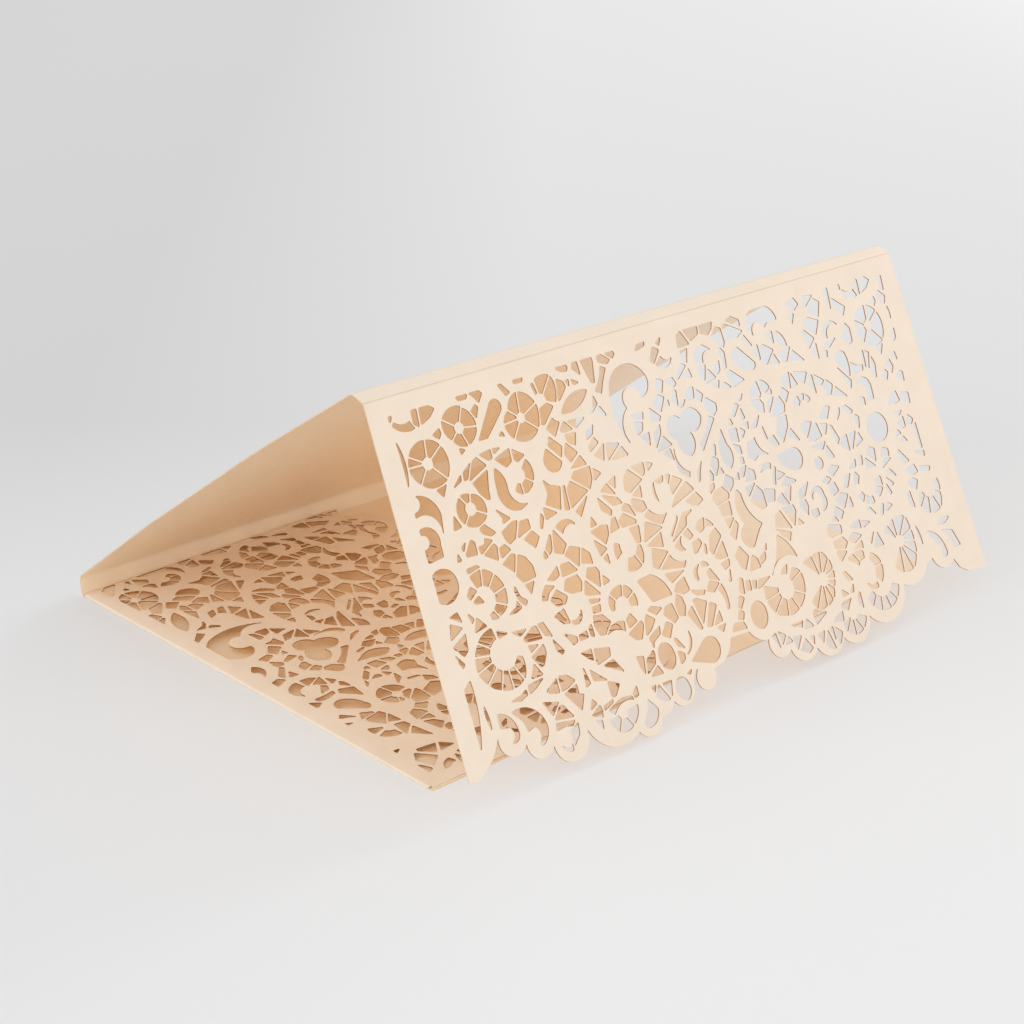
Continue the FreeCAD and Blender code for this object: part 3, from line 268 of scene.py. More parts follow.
UPPER_MIDDLE = lace(
    (63.9, 4.2, 67.6, 4.2, 67.7, 5, 66.5, 10, 65.4, 9.8),
    (69.4, 4.2, 70.9, 4.2, 73.2, 5.9, 71.9, 6.7, 69.3, 5.7),
    (72.1, 4.2, 74.9, 4.2, 75.1, 5, 74, 5.8),
    (66, 11.9, 68.4, 9.3, 69.6, 6.8, 71.1, 7.5, 69, 10.4, 67.7, 12.9),
    (60.1, 26, 63.9, 24.1, 62.6, 27.9), (62.3, 16.5, 64, 15.2, 64.8, 12.8, 65.5, 14.8, 63.5, 16.3),
    (65, 16.6, 65.8, 15.5, 67.3, 17.9, 66.6, 18.1), (64.6, 24.3, 68.7, 25.2, 63.9, 28.2),
    (65.1, 28.4, 69.1, 26, 70.5, 28.4),
    cut((72.3, 26), (69.7, 18, 1), (70.9, 11.4), (77, 7.9, 1), (83.2, 12.4), (82.2, 15.4, 1),
        (79.6, 16.4), (75.4, 13.4, 1), (74.2, 17.9), (71.8, 20.6, 1)),
    cut((90.2, 24.3), (94.9, 22.6, 1), (97.2, 25.1), (96.2, 26.9, 1), (91.9, 27.6),
        (92.9, 30.6, 1), (90.4, 33.4), (87.7, 31.2, 1), (87.6, 28.8), (85.2, 25.8, 1),
        (86.2, 23.5), (88.3, 23.1, 1)),
    (74.9, 19.8, 78.9, 20, 78.3, 21.5, 75.4, 20.9), (75, 21.6, 77.9, 22.3, 77.2, 24, 75.2, 24.8),
    (75.8, 25.2, 79, 24.9, 78.3, 28), (81.2, 19.5, 84.2, 22.3, 83.4, 23.1, 80.3, 22.6, 81.2, 21.5),
    (80.5, 25.5, 83.1, 23.9, 82.7, 26, 80, 29.1), (80.2, 30, 83, 26.8, 85.2, 29.4),
    (81.5, 30.7, 84.2, 30.2, 84.6, 33.2), (82.6, 19.3, 85, 17.1, 87, 18.1, 84.8, 21.2),
    (85.5, 16.4, 86, 13.4, 88.2, 14.3, 86.8, 17), (86.4, 20.1, 88, 18.9, 88.1, 20.3),
    (88.7, 14.4, 91.5, 14.2, 92.3, 15.9, 91, 16.5), (89.2, 19.8, 90.7, 17.2, 91.5, 17.4, 90.8, 21),
    (91.2, 21.7, 92.2, 20.3, 93.7, 20.2, 92.5, 21.4),
    (92.2, 14.6, 95.6, 11.7, 97.1, 12.4, 93.3, 15.1), (95.4, 14.8, 97.7, 13.3, 98.1, 15.5),
    (82, 5.7, 83, 4.4, 85.7, 4.2, 85.4, 5), (85.9, 8.9, 87.8, 6, 89.7, 7, 87, 9.8),
    cut((87.5, 10.2), (90.2, 11.4, 1), (93.1, 9.6), (91.3, 9.9, 1), (89.6, 8.6)),
    (89.2, 5.3, 91.3, 4.2, 90.2, 6),
    cut((85.4, 30.4), (85.6, 34.2, 1), (88.4, 37), (88, 38), (84.9, 34.8, 1), (84.9, 34)),
    (90.2, 39.9, 90.9, 37.4, 93.1, 35.4, 91.7, 37.8, 90.9, 39.8),
    (61.9, 32.9, 64.5, 32.1, 63.5, 34.9), (61.5, 42.4, 63.7, 41, 67.1, 43.5, 66.8, 44.1, 62.3, 44),
    (63.6, 40, 64.8, 38.9, 66.3, 39.6, 67.4, 42.5),
    (67, 40.2, 67.6, 38.4, 71, 39.9, 71.5, 41.6, 69.5, 42.1, 67.9, 41.5),
    (68.2, 37.8, 71.4, 36.1, 71, 38.9),
    (66.3, 36.1, 66.8, 33.5, 68.8, 31.6, 72.5, 34.9, 67.8, 36.9),
    (70.1, 31.3, 74.3, 31.2, 74.1, 33.4, 73.1, 34.2), (75.1, 31.4, 77.2, 32.2, 75.1, 33.4),
    cut((70.1, 43.2), (71.9, 42.2), (73.8, 43.9, 1), (77.2, 44.3), (75, 46.3), (72, 45, 1)),
    cut((75.8, 36.4), (74.8, 38.8, 1), (75.9, 41.1), (75.5, 38.8, 1)),
    (76.3, 36.3, 79.3, 35.6, 78.8, 36.9, 77.2, 37.1), (79.9, 35.7, 81.6, 36, 80.4, 38),
    (80.7, 38.7, 82.4, 36.5, 85, 38.1, 80.7, 40.6), (79.3, 43.5, 81.6, 41.1, 86.1, 38.8, 88, 41.1),
    (84.3, 43.3, 88.4, 42, 90, 44.2, 88, 45, 86.3, 44.7),
    (96.1, 7.9, 96.8, 4.9, 98.4, 4.2, 100.3, 7.7), (99.4, 4.2, 104.6, 4.2, 104.2, 6, 101.1, 7.1),
    (105.3, 4.2, 110.1, 4.2, 109.2, 5.8, 107.5, 6.9, 105.1, 6.1),
    (108.4, 7.8, 110.6, 5.6, 112.4, 6.2, 112.5, 9.8, 111.7, 11),
    (113.2, 9.3, 113.3, 5.7, 114.2, 5.6, 119.8, 8.4, 117.5, 9.5),
    (114.9, 4.9, 117, 4.2, 119.7, 5.6, 119.5, 7.1), (96.2, 10.9, 96.6, 8.7, 99.1, 8.6, 97.8, 11.9),
    cut((100.6, 12.5), (101.9, 9.6, 1), (104.5, 8.9), (106.8, 10.4), (104.4, 10.7, 1),
        (103.3, 13)),
    (100.6, 13.7, 103.7, 13.7, 102.2, 17.3, 101, 16.1), (102.3, 18, 104.1, 14.8, 106.1, 17.3),
    (105.6, 15.8, 108.7, 13.6, 108.2, 16, 106.9, 16.7),
    (109.5, 10.9, 110.6, 11, 111.4, 12.3, 110.7, 15.8, 109.5, 16, 109.8, 13.5),
    (103.8, 18.7, 106.9, 18.2, 106, 20), (107, 20, 108.5, 19.1, 110.4, 20.7, 108, 20.7),
    (109.8, 17.4, 111.4, 16.6, 115.6, 20, 111.2, 20.8),
    cut((114.1, 15.4), (114.2, 12.6, 1), (116.4, 12), (121, 16.7), (120.6, 17.8, 1), (118.6, 17.9),
        (115.9, 17.1, 1)),
    (118.7, 10.4, 119.8, 9.4, 121.8, 12.6),
    (94.2, 19.6, 95.5, 17.8, 97.4, 17.9, 96.8, 20.4, 94.4, 20.4),
    (97.2, 20.9, 98.2, 18.7, 100, 20.3, 98.8, 21.9),
    (99.5, 21.9, 100.5, 21.2, 103.5, 23.4, 103.2, 24.9, 101.6, 26, 99.6, 24.1),
    cut((99.7, 25.7), (101.4, 26.6), (94.8, 33.2), (94.3, 31.4), (97.2, 29.2, 1)),
    (107.1, 27.6, 109.8, 24.8, 111, 25.4, 108.5, 27.8),
    (110.3, 28.2, 111.3, 26.3, 111.9, 28.8, 111, 29.1),
    (105.8, 28.7, 106.7, 27.9, 107.2, 29.4, 105.9, 29.5), (110.8, 24.5, 113.5, 23, 112.3, 24.4),
    (104.9, 30.4, 107.9, 30.6, 107.6, 34, 105, 33), (105, 34, 107.4, 35.1, 107.4, 37, 106, 36.4),
    (106, 37.6, 107.3, 37.9, 107.2, 39.3, 106.1, 39.3),
    (108.6, 33.1, 109.2, 30.8, 110.6, 32, 109.3, 33.2), (110.2, 30.2, 112.5, 30, 112, 31.7),
    (112.6, 31.9, 114, 30.9, 117, 29.3, 115, 31.8),
    wheel(120.4, 25.8, 1.3, (104, 3.5), (190, 4.7), (262, 4.6)),
    (120.5, 29.3, 120.6, 27.4, 122.5, 26.2, 123.9, 26.2, 121.1, 29.5),
    (95.7, 37.1, 97.3, 35.3, 98.8, 36.3, 98.3, 38.1, 96.7, 40),
    (97.9, 34.9, 98.6, 32.5, 99.2, 32.8, 98.4, 35.3), (97.6, 39.5, 98.8, 38.4, 99.5, 40),
    (94.3, 40.6, 95, 38.1, 95.8, 39.6, 95.1, 40.9),
    (98, 42.9, 99.6, 40.3, 101.9, 42, 101.3, 43.4, 99.7, 44.6),
    (102.4, 42.1, 104.2, 40.9, 103.9, 42.7),
    cut((102.5, 29.6), (103.1, 33.6), (103.9, 37.4, 1), (102.2, 39.4), (100.3, 36.6, 1),
        (101.3, 31.8)),
    (93, 43.6, 93.4, 41.6, 95.1, 41.4, 94.8, 42.6),
    (93.2, 45, 94.3, 43.4, 97.3, 42.9, 99.1, 45, 98.6, 46, 94, 46.6),
    (104.8, 42.3, 105, 40.3, 107.6, 39.9, 105.8, 42.3),
    (105.8, 43.7, 107.8, 40.8, 109.7, 41.8, 109.6, 43.9), (105.2, 44.9, 108.7, 44.7, 105.5, 47.4),
    cut((109.4, 36.6), (110.2, 34.9), (113.1, 34.2), (113.9, 37, 1), (116.3, 39.1), (113, 38.5),
        (111, 39.6), (109.4, 38.4)),
    (116.4, 32.6, 117, 32.3, 117.6, 35.6, 116.9, 35.2),
    (117.7, 36.1, 119.9, 35.1, 121.1, 37.8, 119.5, 37.8),
    cut((111.7, 42.8), (113.2, 41), (116, 41.4), (115.6, 42.7), (113.6, 42.3, 1)),
    (114.7, 46.5, 116.8, 42.5, 117.4, 42.9, 115.8, 46.9), (116.5, 45.9, 117.4, 43.6, 119.9, 45.1),
)
UPPER_RIGHT = lace(
    cut((121.9, 8.6), (122.6, 5.4, 1), (125.2, 4.2), (130.3, 4.2), (132.4, 5.8, 1), (133.2, 8),
        (129.6, 8), (128, 9.1), (125.8, 7.2, 1), (123.3, 10.3)),
    wheel(129.9, 14.9, 1.5, (-124, 4.6), (-82, 4.3)),
    wheel(129.9, 14.9, 2.1, (-70, 4.4), (6, 4.3)),
    (121.3, 14, 123.6, 12.7, 123.5, 16.4, 122.8, 16.4),
    (123.7, 17.5, 124.3, 13.3, 125.6, 13.1, 128.8, 15.1, 125.5, 18.1),
    (125.7, 18.3, 128.5, 16, 129.8, 18.7), (130.3, 16.2, 135.1, 15.6, 132.5, 18.9, 130.8, 18.6),
    (133.5, 18.8, 135.6, 16.6, 139, 19.9), (137.9, 5.1, 141.6, 4.2, 142.8, 6, 140.5, 7.3),
    (138, 8, 140.1, 8, 138.5, 10.4), (143.8, 6.9, 145.5, 4.5, 148.9, 4.9, 145.5, 7.1),
    (145.3, 8.5, 148.8, 5.7, 150.9, 7, 149, 10.5, 147, 9.7),
    (142.1, 11.5, 144.5, 9.9, 148.5, 11.4, 146.1, 14.7),
    (141.2, 12.9, 142, 12.7, 145, 15.4, 142, 17.6), (142.3, 18.5, 145.1, 16.7, 144.7, 20.7),
    (153.7, 4.2, 155.4, 4.2, 154.7, 9.4, 153.9, 9.4),
    (155.9, 7, 160.2, 10.1, 158.5, 12.1, 157.5, 10.6, 155.9, 9.3),
    wheel(120.4, 25.6, 1.6, (-98, 4.4), (-28, 3.7), (0, 3.2)),
    (121.3, 30.6, 124.3, 26.8, 126, 26.5, 127.1, 28.8, 126.4, 30.5, 123, 31),
    (128.1, 23.8, 129, 22.1, 132, 21.5, 131, 25.5, 129.5, 25),
    (132.4, 21.8, 133.9, 25.1, 131.9, 25.1), (133.6, 21.9, 138.4, 23, 136.5, 25.4, 134.5, 24.2),
    (137.7, 25.6, 138.2, 24, 140, 23.9, 139.8, 28.8),
    (140.7, 24.1, 144.1, 26.3, 142.5, 27.1, 140.9, 26.8),
    (143, 27.8, 144.5, 26.2, 146.6, 27.9, 145.3, 30.1, 143.4, 30.1),
    (145.6, 30.4, 147.3, 28.6, 150.9, 31.9),
    (126.5, 26, 127.8, 24.6, 129.8, 26.3, 127.8, 28.5, 127.3, 27.2),
    wheel(134, 31, 1.9, (195, 4.3), (248, 3.4), (292, 3.2), (340, 3.2)),
    (121.2, 35.4, 123.1, 31.4, 126.5, 31.4, 126, 34.1, 122.8, 37.7),
    (124.8, 36.5, 126.6, 34.9, 128.8, 38.5),
    cut((118.9, 40.3), (124.8, 39.7), (127.8, 42.4, 1), (125.2, 45.1), (122.4, 44.5, 1)),
    ring(133.1, 45.5, 1.5, 1.5), (130.4, 35.3, 132.5, 34.5, 134.8, 35.2, 131.8, 38.6),
    (131.7, 39.5, 134.7, 35.9, 136.4, 35.8, 137.1, 39.3, 134, 39.8),
    (137.4, 36.2, 140.3, 36.9, 138.6, 39.3), (140.8, 37.3, 141.7, 37.7, 143.2, 41.4, 142, 42.7),
    (138.2, 34.9, 141, 32.4, 143, 33, 141, 35.6), (131.9, 40.9, 137.7, 40.9, 136, 42.6, 134, 41.9),
    (136.6, 43.9, 137.7, 41.9, 139.5, 45.3, 138.2, 45.3),
    cut((150.4, 22.8), (152, 20.6, 1), (154.6, 21.2), (155, 24.6, 1), (154.2, 27.2)),
    (150.2, 24.2, 154.2, 28.5, 153.2, 30.4),
    (155.5, 24, 158, 25.3, 160.2, 25.6, 159.8, 26.9, 155.5, 27),
    cut((156, 29.4), (159.4, 28.8, 1), (161, 31.4), (160.7, 34.6), (158, 34.6), (158.6, 31.2, 1)),
    (155.1, 33.2, 157, 33.6, 156.8, 35.6),
    cut((148.3, 15.9), (150.4, 12.8, 1), (155, 13.8), (152, 13.3, 1), (150, 16.4)),
    (147.9, 18, 150, 17.2, 152.9, 16.9, 149.6, 18.8), (147.1, 19.2, 148.5, 19.4, 147.8, 21),
    (154.9, 17.1, 157, 16.2, 158.1, 14, 159.5, 15.6, 159.1, 19, 157.5, 19.5),
    ring(158.6, 41.8, 4, 3.7), (144.5, 36.8, 145.2, 34.8, 146.6, 33.9, 146, 35.4),
    (147.3, 34, 149, 33.9, 151.2, 35.9, 150.2, 36.4),
    (151, 38.9, 151.4, 36.9, 152.8, 37.8, 151.8, 40.6),
    (142.8, 43, 144.8, 40.9, 146.2, 41, 145.8, 45.2), (147, 45.1, 147.2, 40.9, 149.8, 41),
    (148.5, 44.7, 150.8, 41.5, 151.7, 43.6), (159, 4.2, 160.4, 4.2, 160.4, 5.6),
    (176, 8.4, 177, 5.2, 178, 5, 177.4, 8.8),
    (173.6, 9.4, 175, 8.5, 177.2, 10.4, 176.2, 12.2, 174.2, 11.2),
    petal(176.6, 13, 176.8, 16.4, 0.22, 0.22),
    (174.8, 20.7, 176.8, 18.9, 176.5, 21.5, 175.2, 22.2),
    (160.9, 22, 161.9, 22, 161.4, 26.3, 160.8, 26.2),
    (162.6, 22.3, 164, 23, 162.4, 26.9, 162, 26.3),
    (164.4, 24.2, 165.2, 26.2, 164.2, 29.8, 162.9, 28.2),
    (166.5, 30.4, 168.2, 28.4, 169.2, 29.4, 168, 31.2),
    (169.4, 27, 171.2, 26.3, 171.9, 28.4, 170.6, 30), (172.2, 25.4, 174.2, 24.8, 174.4, 27),
    (171.6, 31.2, 173.6, 30, 174.9, 30.4, 174.6, 32.9),
    (165.3, 37.4, 167.2, 35.4, 169.8, 34.6, 170.4, 37.2, 168.4, 37.6),
    (171, 37.4, 171.4, 35.4, 174.6, 36, 174.2, 38.8), (166.8, 39.8, 169.8, 39.9, 168.4, 40.9),
    (166.6, 42.6, 169.6, 41.4, 169.6, 44, 168, 44.3),
    (170.4, 43.6, 171.6, 41.4, 173.3, 42.9, 172.2, 44), (164.8, 45.6, 166, 44.2, 167, 45.4),
)
LOWER_LEFT = lace(
    (6.7, 49.9, 9.1, 49.4, 9.7, 51.8), (6.4, 51.4, 9.4, 53, 5.5, 54.8),
    (5.6, 56.4, 9.7, 54.4, 9.2, 58.2, 7.8, 59.1), (5.4, 58.2, 7.4, 60.8, 6.6, 61.5),
    cut((7.5, 64.6), (7.2, 72.5, 1), (5.4, 79.8), (5.4, 66)),
    petal(9.2, 71, 9.6, 76.5, 0.12, 0.12),
    wheel(17.2, 49, 3.4, (-112, 6.3), (-78, 6.9), (-47, 6.6), (-12, 6.6), (24, 6.4), (56, 5.4),
          (84, 4.6)),
    (14.2, 48.6, 16, 47.6, 17.1, 49.3, 15, 49.2), (13, 46.8, 14.4, 45.1, 15.9, 46.4, 13.5, 47.9),
    (29.6, 48.8, 32.3, 48.7, 30.6, 51.2),
    (26.1, 49.2, 26.5, 48.3, 27.3, 51, 29, 52.4, 28.1, 53.2, 26.8, 52),
    (22.9, 53.9, 25.5, 52.9, 26, 51.6, 26.9, 53.3, 25, 54), (11.8, 50.5, 13.1, 52, 12.3, 52.9),
    (12.4, 55, 13.8, 52, 16, 54.5), (18.2, 56.3, 21, 57.6, 18.2, 58),
    (22.2, 57.9, 26.4, 58.2, 24.2, 59.3), (29.8, 58.2, 31.5, 58.1, 33.1, 61.9, 31, 61),
    (24.8, 60.3, 28.3, 58.2, 29.3, 58.4, 30.1, 61.5, 25.2, 61),
    (25.7, 61.9, 28.5, 62.5, 25.9, 63.6),
    (25.8, 64.7, 29.9, 62.8, 30.1, 64.8, 28.6, 67.3, 27.6, 67.4),
    (24.1, 69.2, 25.8, 66.2, 27.5, 69.2),
    wheel(18.4, 61.6, 3.9, (20, 5.2), (62, 7.9), (88, 8.1), (112, 8.1), (140, 8.2), (165, 8.4),
          (190, 7.8), (214, 7.3), (259, 6.4)),
    (36, 49.6, 39.9, 47.3, 39.9, 49.4, 38, 50.1),
    (33.1, 53.6, 33.8, 51.9, 35.1, 50.5, 37.6, 51.4, 35.6, 52.3, 34.5, 53.9),
    (35.4, 54.2, 37.8, 52.3, 40.5, 54.6, 39.4, 56, 37, 56),
    (40.6, 50, 41, 47.3, 43.5, 47.3, 45.5, 49.7),
    (40.1, 53, 41.2, 50.9, 44.9, 50.7, 45.8, 52.6, 45, 54.5, 42, 54.3),
    (35.2, 57.9, 38.4, 56.9, 39.2, 60.5, 37.4, 60.2),
    cut((39.8, 60.2), (42.2, 59.9, 1), (43.2, 58.5), (42.6, 60.7, 1), (39.9, 61)),
    (45.7, 55.6, 46.8, 52.6, 50.3, 56.7, 47, 56.2), (46.3, 57, 49.8, 57.8, 49, 58.3, 46.6, 58.1),
    (46.6, 59, 49.2, 58.9, 48.9, 60.5, 46.6, 60.4), (48.5, 45.3, 50.4, 47, 50.5, 49.5, 47.3, 48.6),
    (47.4, 52, 48.5, 50.1, 51, 50.6, 51.7, 51.8, 50.8, 55.2), (51.8, 55.1, 52.4, 52.9, 54, 54.6),
    (32.9, 62.6, 35.3, 66, 34.4, 66.6, 33.2, 65.2), (36.6, 62.4, 39.9, 64, 39.8, 65.1, 38.3, 65.5),
    (40.6, 64, 43.1, 63.5, 43.2, 65.1, 40.5, 65.1), (44, 63, 45, 62.5, 45.1, 65.4, 44.1, 65.2),
    (45.8, 63.2, 46.3, 60.9, 49, 61.4, 50.9, 63.6, 48.6, 65.9, 46.8, 65.8),
    (39.8, 67.9, 42.9, 67.8, 42.8, 70.5, 41.5, 69.6),
    (43.7, 68.1, 48.3, 69.1, 48, 70.9, 43.6, 71.8), (45.4, 72.6, 48.4, 71.9, 50.7, 75.5),
    (16.9, 72.3, 20, 71.8, 21.7, 71, 21.8, 72.2, 19.5, 72.9),
    (22.5, 70.3, 27.2, 70, 24.5, 71.5, 22.5, 72.2), (27.2, 73.1, 30.8, 71.1, 30.7, 74.4, 28, 73.8),
    (31.5, 74.4, 31.6, 70.9, 34, 71.4, 35.9, 73.1, 33.5, 74.1),
    (32, 75.2, 36, 74.1, 35.9, 76.5, 37.3, 76.9, 35.6, 80.1), (25.1, 75.1, 29.6, 76.4, 27.1, 78.8),
    (27.3, 79.9, 29.7, 77.2, 30.5, 77.4, 32.8, 80.7),
    (27, 82.3, 27.3, 80.7, 32.7, 81.6, 31.8, 82.7, 30, 82),
    (30.8, 83.5, 33.4, 82.4, 33, 85, 30.8, 87),
    cut((27.3, 86), (29, 87, 1), (30.3, 86.4), (30.2, 87.8), (28.2, 87.4, 1)),
    cut((16.2, 74.6), (22.4, 76, 1), (24.7, 79.6), (24.1, 82.6, 1), (22.2, 84.1), (21.5, 83.6),
        (22.5, 81.2, 1), (21.2, 79.4), (19.2, 79.9), (18.6, 77.3)),
    cut((12.2, 73.8), (15.6, 76, 1), (16.6, 79), (16, 80.8, 1), (14.2, 81), (15.4, 79.2, 1),
        (14.6, 77.4), (12, 77)),
    (39.2, 71.2, 40.1, 75.2, 38.6, 75.6), (40.8, 72.2, 45.1, 75.9, 41.2, 74.9),
    (45, 76.2, 48.3, 77.8, 46.4, 80, 45.1, 80), (38.1, 80.9, 39.2, 78.7, 40.2, 80),
    (38, 82.2, 40.8, 80.6, 41.3, 81.9, 40.9, 83.5), (41.9, 81.3, 45.2, 80.5, 44.8, 81.3, 42, 82.2),
    (38.6, 83.7, 40.4, 84.1, 40.2, 86.1),
    cut((43.1, 82.8), (46.8, 81.3, 1), (51, 81.6), (51.2, 82.4), (46.8, 82.3, 1), (44.6, 84)),
    wheel(47, 84.2, 1.7, (-8, 4.8), (58, 4.3), (118, 4.6), (176, 4.4)),
    (51.2, 81.2, 53, 79.7, 53, 81.9, 51.8, 82.2),
    cut((55.2, 83.7), (57.5, 86.6), (56.4, 89, 1), (54.2, 89.9), (52.6, 89.2, 1), (52.6, 88.4),
        (54.7, 86)),
    (57.3, 81.3, 58.9, 81.3, 58, 82.9), (58.1, 84, 59.7, 81.5, 62.1, 85.7, 60, 85.5),
    (55.4, 73.4, 57.6, 74, 56.8, 78, 56, 76.5),
    (57.6, 78.2, 58.3, 75, 61, 73.5, 61.2, 74.3, 60.6, 76.6), (58.4, 79.1, 61, 77.2, 62.2, 79.4),
    (55.2, 67.9, 59.8, 65.9, 60.4, 67, 58.8, 70, 57, 69.8),
    (60.4, 69.7, 61.1, 66.1, 61.9, 65.1, 64.2, 66.9, 62.2, 68.9),
    (55.6, 64.5, 57.2, 63.4, 58.7, 65.7, 55.8, 66.6),
    cut((48.9, 66.3), (51.6, 64.4, 1), (54.9, 64.8), (54.4, 66.9), (51.6, 65.7, 1)),
    wheel(55.7, 61.3, 2.5, (172, 3.5), (230, 4.6), (289, 4.9), (332, 4.8), (376, 4.7)),
    (52.7, 44.6, 55.9, 47.4, 53.5, 48.6), (54, 49.3, 55.6, 48.6, 55.6, 51),
    wheel(62.5, 48.4, 2.7, (150, 4.9), (205, 4.2)),
)
